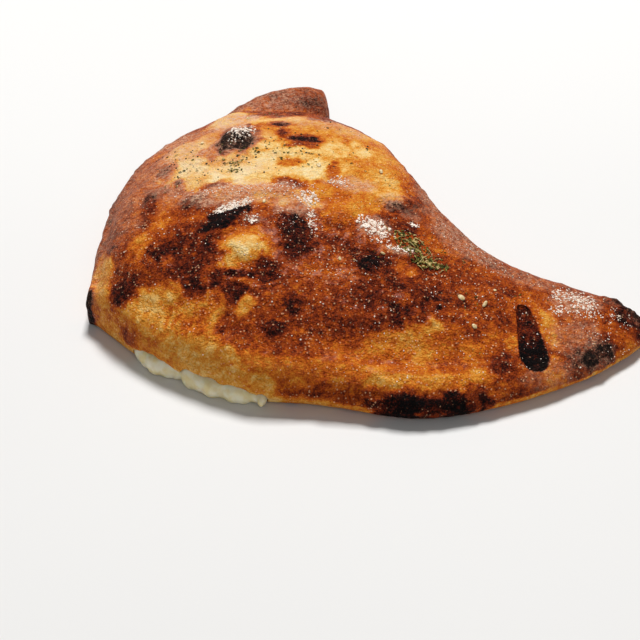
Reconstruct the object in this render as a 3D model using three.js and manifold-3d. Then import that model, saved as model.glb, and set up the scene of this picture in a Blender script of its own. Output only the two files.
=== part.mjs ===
// A baked calzone: one piece of dough folded over its filling, with a long pointed tail, a rolled end at the
// back, a sealed rim along its round side, bubbles and burnt blisters, a steam vent in the tail, and grated
// cheese and dried herbs stuck to its top. Melted cheese shows below the rim at the front left.
// Millimetres, +Z up. The origin is the middle of the calzone's box, on the plane that it rests on.
// +X runs towards the tail and +Y towards the rolled end.
import * as THREE from "three";
import { mergeVertices } from "three/addons/utils/BufferGeometryUtils.js";
import Module from "manifold-3d";

// ---- Driving dimensions ----

// The outline in plan, drawn twice from the left corner to the tail's tip: along the front and along
// the back.
const LEFT_CORNER = [-152, -67];
const TAIL_TIP = [151.5, -69];
const FRONT_EDGE = [
  LEFT_CORNER,
  [-138, -81],
  [-119, -99],
  [-91, -116],
  [-61, -127.5],
  [-28, -130],
  [22, -137],
  [62, -127],
  [106, -105.5],
  [129, -88],
  [139, -78.5],
  TAIL_TIP,
];
const BACK_EDGE = [
  LEFT_CORNER,
  [-150, -20],
  [-146, 20],
  [-133, 58],
  [-107, 92],
  [-79, 112],
  [-50, 117],
  [-24, 107],
  [0, 86],
  [16.5, 48],
  [29, 18.5],
  [48.5, -12],
  [73, -30],
  [98, -41],
  [123, -49],
  [138, -60],
  TAIL_TIP,
];

// Each rib of the dough runs from the front edge to the back edge. These values hold at the stations, which
// are shares of the way from the left corner (0) to the tail's tip (1).
const STATIONS = [0, 0.08, 0.2, 0.35, 0.5, 0.65, 0.8, 0.92, 1];
const CREST_HEIGHT = [15, 34, 48, 57, 54, 43, 29, 19, 9];
const CREST_PLACE = [0.5, 0.48, 0.46, 0.47, 0.56, 0.7, 0.72, 0.65, 0.5]; // share of the way to the back edge
const RIM_HEIGHT = [12, 13, 14, 12, 8, 7, 7, 6, 5]; // how high the widest line of the edge lies
const FRONT_ROUNDING = { rise: 1.9, fullness: 1.6 }; // powers of the superellipse from the edge to the crest
const BACK_ROUNDING = { rise: 2.1, fullness: 1.8 };
const EDGE_CURL = 9; // how far the edge curls in below its widest line
const LONGEST_CURL = 0.4; // and the share of the rib that it may take

// The rolled end at the back: x, y, z and radius along its middle line, and how far its blunt end is domed.
const ROLLED_END = [
  [-121, 62, 9, 5],
  [-108, 78, 12, 8],
  [-93, 91, 14, 11],
  [-78, 103.5, 16.5, 14],
  [-62, 113.5, 18, 16.5],
  [-44, 119, 18.5, 17],
  [-32, 120, 18.5, 15.5],
];
const ROLL_DOME = 5;

// The sealed rim: a ridge near the edge and a valley behind it, along the front and round the left side.
const RIM_RIDGE = { inset: 8, spread: 6, height: 1.8 };
const RIM_VALLEY = { inset: 22, spread: 9, height: -2.4 };
const SEALED_FRONT = [0.66, 0.78]; // the front rim flattens between these stations, on its way to the tail
const SEALED_BACK = [0.32, 0.42]; // and the back rim between these, where the plain fold begins
const RELIEF_START = 5; // the relief fades out over this distance from the edge

// Bubbles, blisters and hollows: x, y, half length, half width, turn in degrees, and height.
const BUMPS = [
  { at: [-81, 35], half: [18, 11], turn: 57, height: 4 }, // burnt blister in front of the rolled end
  { at: [-79, -49], half: [16, 8], turn: 40, height: 3.5 }, // burnt blister on the crest
  { at: [-68, -65], half: [16, 13], turn: 14, height: 4 }, // pale bubble below it
  { at: [-19, -34], half: [18, 13], turn: 40, height: 3 }, // broad bubble on the crest
  { at: [-44, -52], half: [18, 9], turn: -71, height: 2.2 }, // brown blisters on the front slope
  { at: [-1, -71], half: [12, 11], turn: -30, height: 2.5 },
  { at: [-51, -108], half: [12, 8], turn: -12, height: 2.4 },
  { at: [-58, -79], half: [11, 9], turn: -51, height: -2 },
  { at: [19, -82], half: [11, 9], turn: -26, height: 2 },
  { at: [-129, -76], half: [9, 8], turn: 0, height: 1.8 },
  { at: [-97, -68], half: [20, 9], turn: -22, height: -1.6 },
  { at: [-69, -22], half: [56, 10], turn: 6, height: 2.6 }, // long ridge that the crest makes
  { at: [-75, 8], half: [46, 16], turn: 8, height: -2 }, // the shallow bed behind that ridge
  { at: [7, -24], half: [14, 6], turn: -5, height: -3 }, // crease at the right of the crest
  { at: [14, -14], half: [16, 7], turn: -12, height: 1.8 },
  { at: [-28, 62], half: [30, 14], turn: -18, height: 2.5 }, // swell in front of the rolled end
  { at: [-88, 80], half: [30, 15], turn: 40, height: 4 }, // where the rolled end grows out of the rim
  { at: [-113, -94], half: [24, 10], turn: -38, height: -2.6 }, // thin dough over the cheese
  { at: [12, -110], half: [42, 14], turn: 3, height: -3 }, // hollow behind the front rim
  { at: [56, -74], half: [18, 12], turn: -20, height: 1.8 }, // swell before the steam vent
  { at: [126, -60], half: [12, 7], turn: -30, height: 2.5 }, // knob near the tail's tip
];

// The steam vent in the tail: a leaf-shaped slit between two points of the plan, pointed at its start and
// blunt at its end. It is widest this share of the way along, and this steeply pointed.
const VENT = { from: [73.6, -75], to: [79.4, -112.5], halfWidth: 7.5, depth: 2.4, widest: 0.8, point: 0.35 };

// Melted cheese below the rim: each blob's station on the front edge, its half length, depth and height, and
// how far its middle lies in from the edge.
const CHEESE_BLOBS = [
  { station: 0.126, size: [6, 5, 6.5], inset: 4.4 },
  { station: 0.14, size: [6.5, 6.5, 7.5], inset: 4.4 },
  { station: 0.157, size: [7.5, 7.5, 7.5], inset: 4 },
  { station: 0.175, size: [6.5, 6, 7], inset: 4 },
  { station: 0.19, size: [5.5, 5, 6.5], inset: 4.8 },
  { station: 0.205, size: [5, 4.5, 6], inset: 5.8 },
  { station: 0.219, size: [6.5, 7.5, 8.5], inset: 5.2 },
  { station: 0.236, size: [7, 7, 7.5], inset: 4.6 },
  { station: 0.254, size: [7.5, 7.5, 7.5], inset: 4 },
  { station: 0.272, size: [6, 5.5, 7], inset: 4.8 },
  { station: 0.288, size: [7, 7, 7], inset: 4.8 },
  { station: 0.303, size: [6, 6.5, 7], inset: 5 },
  { station: 0.32, size: [4.5, 5, 5], inset: 5.2 },
  { station: 0.334, size: [2.5, 5.5, 4], inset: 3 },
];
const CHEESE_LIFT = 5.5; // height of the blobs' middles
// The cheese behind the blobs, where it runs in between the upper and the lower dough.
const CHEESE_ROOT = { stations: [0.135, 0.32], inset: 16, halfDepth: 12, halfHeight: 3.5, lift: 6, steps: 8 };
const CHEESE_GAP = 0.35; // keeps the dough clear of the cheese
const CHEESE_FLOOR = 0.2; // the cheese stays this far above the table

// Toppings stuck to the dough: where each pinch lies, how far it spreads and how many pieces show.
const CHEESE_PINCHES = [
  { at: [-80, 43], spread: 9, count: 5 },
  { at: [-75, -38], spread: 7, count: 4 },
  { at: [-37, -30], spread: 9, count: 4 },
  { at: [-2, -40], spread: 8, count: 7 },
  { at: [13, -56], spread: 6, count: 4 },
  { at: [104, -70], spread: 12, count: 7 },
];
const HERB_PINCHES = [
  { at: [28, -58], spread: 8, count: 8 },
  { at: [15, -50], spread: 8, count: 5 },
  { at: [-80, 4], spread: 12, count: 5 },
  { at: [-50, 15], spread: 26, count: 6 },
  { at: [48, -81], spread: 9, count: 3 },
];
const CRUMB_RADIUS = [1.1, 1.8];
const FLAKE_SIZE = [1.9, 1, 0.55]; // half length, half width and half thickness

// Mesh steps.
const STATION_STEPS = 70;
const TOP_STEPS = 38;
const EVENNESS = 0.5; // 1 spaces the points of a rib evenly, 0 gathers them at its edges
const CURL_STEPS = 3;
const ROLL_STEPS = 18;
const ROLL_SIDES = 18;
const VENT_STEPS = 14;
const VENT_SIDES = 12;
const BLOB_SIDES = 10;
const ROOT_SIDES = 10;

// ---- Small helpers ----

const wasm = await Module();
wasm.setup();

const radians = THREE.MathUtils.degToRad;

// A fixed run of numbers from 0 to 1, so that every build scatters the toppings alike.
function dice(seed) {
  let state = seed;
  return () => {
    state = (state * 1664525 + 1013904223) % 4294967296;
    return state / 4294967296;
  };
}

// Points at even steps along a smooth curve.
function spaced(points, steps) {
  const line = new THREE.CatmullRomCurve3(
    points.map(([x, y, z = 0]) => new THREE.Vector3(x, y, z)),
    false,
    "centripetal",
  );
  line.arcLengthDivisions = 2000;
  return line.getSpacedPoints(steps);
}

// A value between the stations: cubic pieces whose slope at a station is that of its neighbours' chord.
function atStation(values, s) {
  const last = STATIONS.length - 1;
  const slope = (i) => {
    const a = Math.max(i - 1, 0);
    const b = Math.min(i + 1, last);
    return (values[b] - values[a]) / (STATIONS[b] - STATIONS[a]);
  };
  let i = 0;
  while (i < last - 1 && s > STATIONS[i + 1]) i++;
  const width = STATIONS[i + 1] - STATIONS[i];
  const t = (s - STATIONS[i]) / width;
  const rise = values[i + 1] - values[i];
  const a = slope(i) * width - rise;
  const b = -slope(i + 1) * width + rise;
  return values[i] + t * rise + t * (1 - t) * (a * (1 - t) + b * t);
}

// 1 in the middle of a bump, 0 at its edge and beyond, with no kink.
function hump(distance) {
  return distance < 1 ? (1 - distance ** 2) ** 2 : 0;
}

// How far a point lies from the middle of a turned ellipse, as a share of the way to its edge.
function reach({ at, half, turn }, x, y) {
  const c = Math.cos(radians(turn));
  const s = Math.sin(radians(turn));
  const along = (x - at[0]) * c + (y - at[1]) * s;
  const across = (y - at[1]) * c - (x - at[0]) * s;
  return Math.hypot(along / half[0], across / half[1]);
}

function solidFrom(geometry) {
  const bare = geometry.clone().deleteAttribute("normal").deleteAttribute("uv");
  const merged = mergeVertices(bare, 1e-4);
  return new wasm.Manifold(
    new wasm.Mesh({
      numProp: 3,
      vertProperties: merged.attributes.position.array,
      triVerts: new Uint32Array(merged.index.array),
    }),
  );
}

function geometryFrom(solid) {
  const { vertProperties, triVerts } = solid.getMesh();
  const geometry = new THREE.BufferGeometry();
  geometry.setAttribute("position", new THREE.BufferAttribute(new Float32Array(vertProperties), 3));
  geometry.setIndex(new THREE.BufferAttribute(new Uint32Array(triVerts), 1));
  geometry.computeVertexNormals();
  return geometry;
}

// A closed skin over loops of points of one length, with a single point at each end.
function loft(first, loops, last) {
  const sides = loops[0].length;
  const positions = [first, ...loops.flat(), last].flatMap((p) => [p.x, p.y, p.z]);
  const end = loops.length * sides + 1;
  const at = (loop, side) => 1 + loop * sides + (side % sides);
  const triangles = [];
  for (let side = 0; side < sides; side++) {
    triangles.push(0, at(0, side), at(0, side + 1));
    triangles.push(end, at(loops.length - 1, side + 1), at(loops.length - 1, side));
    for (let loop = 0; loop < loops.length - 1; loop++) {
      triangles.push(at(loop, side), at(loop + 1, side + 1), at(loop, side + 1));
      triangles.push(at(loop, side), at(loop + 1, side), at(loop + 1, side + 1));
    }
  }
  const geometry = new THREE.BufferGeometry();
  geometry.setAttribute("position", new THREE.Float32BufferAttribute(positions, 3));
  geometry.setIndex(triangles);
  return geometry;
}

// An upright ellipse of points round a middle line that heads along `ahead`.
function ringAround(centre, ahead, halfWidth, halfHeight, sides) {
  const right = new THREE.Vector3(ahead.y, -ahead.x, 0).normalize();
  const ring = [];
  for (let k = 0; k < sides; k++) {
    const angle = (k / sides) * 2 * Math.PI;
    const point = centre.clone().addScaledVector(right, halfWidth * Math.cos(angle));
    point.z += halfHeight * Math.sin(angle);
    ring.push(point);
  }
  return ring;
}

// ---- The folded dough ----

function rimRelief(inset) {
  const band = ({ inset: middle, spread, height }) => height * hump((inset - middle) / (2 * spread));
  return band(RIM_RIDGE) + band(RIM_VALLEY);
}

// The height that the bumps and the sealed rim add at a point of the top.
function relief(x, y, s, frontInset, backInset) {
  let height = 0;
  for (const bump of BUMPS) height += bump.height * hump(reach(bump, x, y));
  height += rimRelief(frontInset) * (1 - THREE.MathUtils.smoothstep(s, ...SEALED_FRONT));
  height += rimRelief(backInset) * (1 - THREE.MathUtils.smoothstep(s, ...SEALED_BACK));
  return height * THREE.MathUtils.smoothstep(Math.min(frontInset, backInset), 0, RELIEF_START);
}

// The dome's share of its full height, from 0 at the edge to 1 at the crest.
function dome(way, { rise, fullness }) {
  return (1 - (1 - way) ** rise) ** (1 / fullness);
}

function rib(front, back, s) {
  const length = front.distanceTo(back);
  const rim = atStation(RIM_HEIGHT, s);
  const crest = atStation(CREST_HEIGHT, s);
  const place = atStation(CREST_PLACE, s);
  const points = [];
  for (let k = 0; k <= TOP_STEPS; k++) {
    const even = k / TOP_STEPS;
    const w = EVENNESS * even + (1 - EVENNESS) * (0.5 - 0.5 * Math.cos(Math.PI * even));
    const share = w < place ? dome(w / place, FRONT_ROUNDING) : dome((1 - w) / (1 - place), BACK_ROUNDING);
    const point = front.clone().lerp(back, w);
    const bumps = relief(point.x, point.y, s, w * length, (1 - w) * length);
    point.z = rim + (crest - rim) * share + bumps;
    points.push(point);
  }
  const curl = Math.min(EDGE_CURL, LONGEST_CURL * length);
  const under = (from, to, k) => {
    const angle = (k / CURL_STEPS) * (Math.PI / 2);
    const point = from.clone().lerp(to, (curl / length) * (1 - Math.cos(angle)));
    point.z = k === CURL_STEPS ? 0 : rim * (1 - Math.sin(angle));
    return point;
  };
  for (let k = 1; k <= CURL_STEPS; k++) points.push(under(back, front, k));
  for (let k = CURL_STEPS; k >= 1; k--) points.push(under(front, back, k));
  return points;
}

const frontLine = spaced(FRONT_EDGE, STATION_STEPS);
const backLine = spaced(BACK_EDGE, STATION_STEPS);

function foldedDough() {
  const ribs = [];
  for (let i = 1; i < STATION_STEPS; i++) ribs.push(rib(frontLine[i], backLine[i], i / STATION_STEPS));
  const tip = (point, s) => point.clone().setZ(atStation(RIM_HEIGHT, s));
  return solidFrom(loft(tip(frontLine[0], 0), ribs, tip(frontLine[STATION_STEPS], 1)));
}

// ---- The rolled end ----

function rolledEnd() {
  const middle = spaced(ROLLED_END, ROLL_STEPS);
  const radii = spaced(
    ROLLED_END.map(([x, y, , radius]) => [x, y, radius]),
    ROLL_STEPS,
  ).map((point) => point.z);
  const ahead = new THREE.Vector3();
  const rings = middle.map((centre, i) => {
    const from = middle[Math.max(i - 1, 0)];
    const to = middle[Math.min(i + 1, ROLL_STEPS)];
    ahead.subVectors(to, from).setZ(0).normalize();
    return ringAround(centre, ahead, radii[i], radii[i], ROLL_SIDES);
  });
  const last = middle[ROLL_STEPS];
  const shoulder = last.clone().addScaledVector(ahead, ROLL_DOME * 0.75);
  rings.push(ringAround(shoulder, ahead, radii[ROLL_STEPS] * 0.6, radii[ROLL_STEPS] * 0.6, ROLL_SIDES));
  for (const point of rings.flat()) point.z = Math.max(0, point.z);
  const end = last.clone().addScaledVector(ahead, ROLL_DOME);
  return solidFrom(loft(middle[0], rings, end));
}

// ---- The skin and the steam vent ----

// Where the dough's skin lies above a point of the plan, and which way it faces.
function skinOf(dough) {
  const mesh = new THREE.Mesh(geometryFrom(dough), new THREE.MeshBasicMaterial());
  const ray = new THREE.Raycaster();
  const down = new THREE.Vector3(0, 0, -1);
  return (x, y) => {
    ray.set(new THREE.Vector3(x, y, 200), down);
    return ray.intersectObject(mesh)[0];
  };
}

// The slit's half width at a share of its length: it opens from a point and closes with a round end.
function ventHalfWidth(way) {
  const { halfWidth, widest, point } = VENT;
  if (way < widest) return halfWidth * (way / widest) ** point;
  return halfWidth * Math.sqrt(1 - ((way - widest) / (1 - widest)) ** 2);
}

// The body that is cut out of the dough: its middle line follows the skin.
function ventCutter(skin) {
  const from = new THREE.Vector2(...VENT.from);
  const to = new THREE.Vector2(...VENT.to);
  const ahead = to.clone().sub(from);
  const onSkin = (way) => {
    const { x, y } = from.clone().lerp(to, way);
    return skin(x, y).point;
  };
  const rings = [];
  for (let k = 1; k < VENT_STEPS; k++) {
    const half = ventHalfWidth(k / VENT_STEPS);
    const deep = VENT.depth * Math.min(1, half / (0.6 * VENT.halfWidth));
    rings.push(ringAround(onSkin(k / VENT_STEPS), ahead, half, deep, VENT_SIDES));
  }
  return solidFrom(loft(onSkin(0), rings, onSkin(1)));
}

// ---- The melted cheese ----

// A point that lies in from the front edge at a station, and the way that the edge heads there.
function inFromFront(station, inset, height) {
  const place = station * STATION_STEPS;
  const i = Math.floor(place);
  const ahead = frontLine[i + 1].clone().sub(frontLine[i]).normalize();
  const point = frontLine[i].clone().lerp(frontLine[i + 1], place - i);
  point.x -= ahead.y * inset;
  point.y += ahead.x * inset;
  return { point: point.setZ(height), ahead };
}

// The blobs below the rim and the cheese behind them, grown by the same amount all round.
function meltedCheese(grown) {
  const pieces = CHEESE_BLOBS.map(({ station, size, inset }) => {
    const { point, ahead } = inFromFront(station, inset, CHEESE_LIFT);
    const blob = new THREE.SphereGeometry(1, BLOB_SIDES, BLOB_SIDES - 2);
    blob.scale(...size.map((half) => half + grown));
    blob.rotateZ(Math.atan2(ahead.y, ahead.x));
    blob.translate(point.x, point.y, point.z);
    return solidFrom(blob);
  });
  const { stations, inset, halfDepth, halfHeight, lift, steps } = CHEESE_ROOT;
  const rootAt = (k) => inFromFront(THREE.MathUtils.lerp(...stations, k / steps), inset, lift);
  const rings = [];
  for (let k = 0; k <= steps; k++) {
    const { point, ahead } = rootAt(k);
    const swell = Math.sqrt(1 - (2 * (k / steps) - 1) ** 6 * 0.75);
    rings.push(ringAround(point, ahead, halfDepth * swell + grown, halfHeight * swell + grown, ROOT_SIDES));
  }
  const cap = (k, way) => {
    const { point, ahead } = rootAt(k);
    return point.addScaledVector(ahead, way * (halfHeight + grown));
  };
  pieces.push(solidFrom(loft(cap(0, -1), rings, cap(steps, 1))));
  return wasm.Manifold.union(pieces);
}

function below(height) {
  const slab = new THREE.BoxGeometry(400, 400, 40);
  slab.translate(0, 0, height - 20);
  return solidFrom(slab);
}

// ---- Toppings ----

// Pieces scattered about each pinch, half sunk in the dough and turned to lie on it.
function scatter(pinches, seed, skin, makePiece) {
  const roll = dice(seed);
  const up = new THREE.Vector3(0, 0, 1);
  const pieces = [];
  for (const { at, spread, count } of pinches) {
    for (let n = 0; n < count; n++) {
      const angle = roll() * 2 * Math.PI;
      const distance = spread * Math.sqrt(roll());
      const hit = skin(at[0] + distance * Math.cos(angle), at[1] + distance * Math.sin(angle));
      const piece = makePiece(roll);
      piece.rotateZ(roll() * 2 * Math.PI);
      piece.applyQuaternion(new THREE.Quaternion().setFromUnitVectors(up, hit.face.normal));
      piece.translate(hit.point.x, hit.point.y, hit.point.z);
      pieces.push(solidFrom(piece));
    }
  }
  return wasm.Manifold.union(pieces);
}

function crumb(roll) {
  const radius = THREE.MathUtils.lerp(...CRUMB_RADIUS, roll());
  const piece = new THREE.IcosahedronGeometry(radius, 0);
  piece.scale(1, 0.7 + 0.4 * roll(), 0.75);
  return piece.translate(0, 0, 0.25 * radius);
}

function flake(roll) {
  const piece = new THREE.OctahedronGeometry(1, 0);
  const size = 0.8 + 0.5 * roll();
  piece.scale(...FLAKE_SIZE.map((half) => half * size));
  return piece.translate(0, 0, 0.2);
}

// ---- The whole calzone ----

const plainDough = foldedDough().add(rolledEnd());
const skin = skinOf(plainDough);
const crumbs = scatter(CHEESE_PINCHES, 11, skin, crumb);
const flakes = scatter(HERB_PINCHES, 23, skin, flake);
const vented = plainDough.subtract(ventCutter(skin));
const topped = vented.add(crumbs).add(flakes);
const dough = topped.subtract(meltedCheese(CHEESE_GAP));
const cheese = meltedCheese(0).subtract(below(CHEESE_FLOOR));

function nodeOf(name, solid, look) {
  const mesh = new THREE.Mesh(geometryFrom(solid), new THREE.MeshStandardMaterial(look));
  mesh.name = name;
  return mesh;
}

const calzone = new THREE.Group();
calzone.add(nodeOf("crust", dough, { color: 0xa85f22, roughness: 0.5, metalness: 0 }));
calzone.add(nodeOf("melted_cheese", cheese, { color: 0xece3bd, roughness: 0.35, metalness: 0 }));

export default calzone;
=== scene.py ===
# %% [markdown]
# # A calzone, folded, rolled at one end and baked
#
# A calzone is one round of pizza dough, folded over its filling and sealed. This one ends in a long pointed
# tail on the right and in a rolled-up end at the back. A very hot oven has blown bubbles in it and burnt
# their tops.
#
# The imported solids give its size and its place, in metres, with +Z up. What is made here may not outgrow
# it by more than a few millimetres.

# %% Load the solids
import itertools
import math
import bmesh
import bpy
import numpy as np
from mathutils import Matrix, Vector
from mathutils.bvhtree import BVHTree


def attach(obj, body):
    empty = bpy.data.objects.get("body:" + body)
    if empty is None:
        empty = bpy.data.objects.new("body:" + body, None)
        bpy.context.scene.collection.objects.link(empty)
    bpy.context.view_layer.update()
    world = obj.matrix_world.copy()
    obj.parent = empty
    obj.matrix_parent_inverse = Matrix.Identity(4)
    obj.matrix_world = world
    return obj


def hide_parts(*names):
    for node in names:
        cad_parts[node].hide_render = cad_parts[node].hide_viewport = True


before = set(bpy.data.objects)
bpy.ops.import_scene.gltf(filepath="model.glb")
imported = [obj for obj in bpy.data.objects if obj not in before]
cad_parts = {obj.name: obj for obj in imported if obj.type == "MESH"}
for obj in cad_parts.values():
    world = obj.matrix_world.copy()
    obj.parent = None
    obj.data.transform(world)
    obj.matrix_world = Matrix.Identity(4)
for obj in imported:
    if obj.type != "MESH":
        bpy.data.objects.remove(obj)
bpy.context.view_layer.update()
MM = 0.001


# %% [markdown]
# ## The outline of the fold
#
# Seen from above, the fold has a round side in front, where its two layers are sealed, and a hollow side
# behind, which runs from the rolled end to the tail. Both lines could be Bezier curves, but a few measured
# points with a smooth line through them are easier to correct. The line is a Catmull-Rom spline, whose knots
# are spaced by the root of the distances, so that it never loops. It is walked at even steps, so that the
# ribs of the dough stand at even distances. All the lists below are in millimetres.

# %% Two edge lines
RIBS = 260
SPLINE_WALK = 60
KNOT_POWER = 0.5
LEFT_CORNER = (-152, -67)
TAIL_TIP = (151.5, -69)
FRONT_EDGE = [LEFT_CORNER, (-138, -81), (-119, -99), (-91, -116), (-61, -127.5), (-28, -130), (22, -137),
              (62, -127), (106, -105.5), (129, -88), (139, -78.5), TAIL_TIP]
BACK_EDGE = [LEFT_CORNER, (-150, -20), (-146, 20), (-133, 58), (-107, 92), (-79, 112), (-50, 117),
             (-24, 107), (0, 86), (16.5, 48), (29, 18.5), (48.5, -12), (73, -30), (98, -41), (123, -49),
             (138, -60), TAIL_TIP]


def between(p, q, start, end, t):
    """The point on the line from p to q where a walk that starts and ends at these times is at time t."""
    return ((end - t) * p + (t - start) * q) / (end - start)


def smooth_line(points, steps):
    """Points at even steps along a smooth curve through the given points."""
    points = np.array(points, float)
    ends = [2 * points[0] - points[1], *points, 2 * points[-1] - points[-2]]
    walked = [points[0]]
    for a, b, c, d in zip(ends, ends[1:], ends[2:], ends[3:]):
        k = np.cumsum([0, *(np.linalg.norm(q - p) ** KNOT_POWER for p, q in ((a, b), (b, c), (c, d)))])
        t = np.linspace(k[1], k[2], SPLINE_WALK)[1:, None]
        ab, bc, cd = between(a, b, k[0], k[1], t), between(b, c, k[1], k[2], t), between(c, d, k[2], k[3], t)
        abc, bcd = between(ab, bc, k[0], k[2], t), between(bc, cd, k[1], k[3], t)
        walked.extend(between(abc, bcd, k[1], k[2], t))
    walked = np.array(walked)
    far = np.cumsum([0, *np.linalg.norm(np.diff(walked, axis=0), axis=1)])
    even = np.linspace(0, far[-1], steps + 1)
    return np.stack([np.interp(even, far, column) for column in walked.T], axis=1)


front_line = smooth_line(FRONT_EDGE, RIBS)
back_line = smooth_line(BACK_EDGE, RIBS)
print("widest rib:", round(float(np.linalg.norm(back_line - front_line, axis=1).max())), "mm")

# %% [markdown]
# ## Swells, bubbles and the sealed rim
#
# Dough is not an even dome. Steam lifts bubbles, the filling makes swells and hollows, and the fingers that
# sealed the rim left a ridge with a valley behind it. Sculpting could do this, but each form is easier to
# place and to correct as a line in a list: where it lies, how far it reaches and how high it stands. A hump
# that starts and ends level leaves no crease round it.

# %% The forms that stand on the fold
# x, y, half length, half width, turn in degrees, height
BUMPS = [
    (-81, 35, 18, 11, 57, 4), (-79, -49, 16, 8, 40, 3.5), (-68, -65, 16, 13, 14, 4),
    (-19, -34, 18, 13, 40, 3), (-44, -52, 18, 9, -71, 2.2), (-1, -71, 12, 11, -30, 2.5),
    (-51, -108, 12, 8, -12, 2.4), (-58, -79, 11, 9, -51, -2), (19, -82, 11, 9, -26, 2),
    (-129, -76, 9, 8, 0, 1.8), (-97, -68, 20, 9, -22, -1.6), (-69, -22, 56, 10, 6, 2.6),
    (-75, 8, 46, 16, 8, -2), (7, -24, 14, 6, -5, -3), (14, -14, 16, 7, -12, 1.8),
    (-28, 62, 30, 14, -18, 2.5), (-88, 80, 30, 15, 40, 4), (-113, -94, 24, 10, -38, -2.6),
    (12, -110, 42, 14, 3, -3), (56, -74, 18, 12, -20, 1.8), (126, -60, 12, 7, -30, 2.5),
]
# distance in from the edge, reach to each side, height
RIM_RIDGE = (8, 6, 1.8)
RIM_VALLEY = (22, 9, -2.4)
SEALED_FRONT = (0.66, 0.78)
SEALED_BACK = (0.32, 0.42)
RELIEF_START = 5


def smoothstep(start, end, value):
    """0 before start, 1 after end, and level at both."""
    t = np.clip((value - start) / (end - start), 0, 1)
    return t * t * (3 - 2 * t)


def hump(distance):
    """1 in the middle, 0 from a distance of 1 on, with no kink."""
    return np.maximum(0, 1 - distance ** 2) ** 2


def reach(x, y, mark):
    """How far points lie from the middle of a turned ellipse, as a share of the way to its edge."""
    middle_x, middle_y, half_length, half_width, turn = mark[:5]
    c, s = math.cos(math.radians(turn)), math.sin(math.radians(turn))
    along = (x - middle_x) * c + (y - middle_y) * s
    across = (y - middle_y) * c - (x - middle_x) * s
    return np.hypot(along / half_length, across / half_width)


def relief(x, y, s, front_inset, back_inset):
    """The height that the swells and the sealed rim add, at a share s of the way to the tail."""
    height = sum(bump[5] * hump(reach(x, y, bump)) for bump in BUMPS)
    for inset, sealed in ((front_inset, SEALED_FRONT), (back_inset, SEALED_BACK)):
        rim = sum(rise * hump((inset - middle) / (2 * spread))
                  for middle, spread, rise in (RIM_RIDGE, RIM_VALLEY))
        height = height + rim * (1 - smoothstep(*sealed, s))
    return height * smoothstep(0, RELIEF_START, np.minimum(front_inset, back_inset))


print(len(BUMPS), "swells and hollows, up to", max(bump[5] for bump in BUMPS), "mm high")

# %% [markdown]
# ## The ribs of the fold
#
# Each rib is one slice through the dough from the front edge to the back edge: a high arch above and a flat
# base that curls in under the edges. A lofted skin over the ribs fits a form that changes all along its
# length better than a box that is subdivided and pulled. The crest's height and place are given at nine
# stations and run smoothly between them.

# %% Heights along the fold
STATIONS = np.array([0, 0.08, 0.2, 0.35, 0.5, 0.65, 0.8, 0.92, 1])
CREST_HEIGHT = np.array([15.0, 34, 48, 57, 54, 43, 29, 19, 9])
CREST_PLACE = np.array([0.5, 0.48, 0.46, 0.47, 0.56, 0.7, 0.72, 0.65, 0.5])
RIM_HEIGHT = np.array([12.0, 13, 14, 12, 8, 7, 7, 6, 5])


def at_station(values, s):
    """A value between the stations, on smooth pieces that pass through it at each."""
    last = len(STATIONS) - 1
    before, after = np.maximum(np.arange(last + 1) - 1, 0), np.minimum(np.arange(last + 1) + 1, last)
    slope = (values[after] - values[before]) / (STATIONS[after] - STATIONS[before])
    i = np.clip(np.searchsorted(STATIONS, s) - 1, 0, last - 1)
    width = STATIONS[i + 1] - STATIONS[i]
    t = (s - STATIONS[i]) / width
    rise = values[i + 1] - values[i]
    bend = (slope[i] * width - rise) * (1 - t) + (rise - slope[i + 1] * width) * t
    return values[i] + t * rise + t * (1 - t) * bend


print("the crest rises to", CREST_HEIGHT.max(), "mm and falls to", CREST_HEIGHT.min(), "mm at the tail")

# %% Loft the folded dough
# how steeply an arch starts and how full it is
FRONT_ROUNDING = (1.9, 1.6)
BACK_ROUNDING = (2.1, 1.8)
EDGE_CURL = 9
LONGEST_CURL = 0.4
TOP_STEPS = 150
CURL_STEPS = 8


def dome(way, rounding):
    """The arch's share of its full height, from 0 at the edge to 1 at the crest."""
    rise, fullness = rounding
    return (1 - (1 - np.clip(way, 0, 1)) ** rise) ** (1 / fullness)


def loft(first, rings, last):
    """Points and faces of a closed skin over rings of points, with one point at each end."""
    count, sides = rings.shape[:2]
    at = 1 + np.arange(count * sides).reshape(count, sides)
    beside = np.roll(at, -1, axis=1)
    quads = np.stack([at[:-1], at[1:], beside[1:], beside[:-1]], axis=-1).reshape(-1, 4).tolist()
    start_fan = [(0, a, b) for a, b in zip(at[0].tolist(), beside[0].tolist())]
    end = count * sides + 1
    end_fan = [(end, b, a) for a, b in zip(at[-1].tolist(), beside[-1].tolist())]
    return np.vstack([first, rings.reshape(-1, 3), last]), quads + start_fan + end_fan


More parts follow.
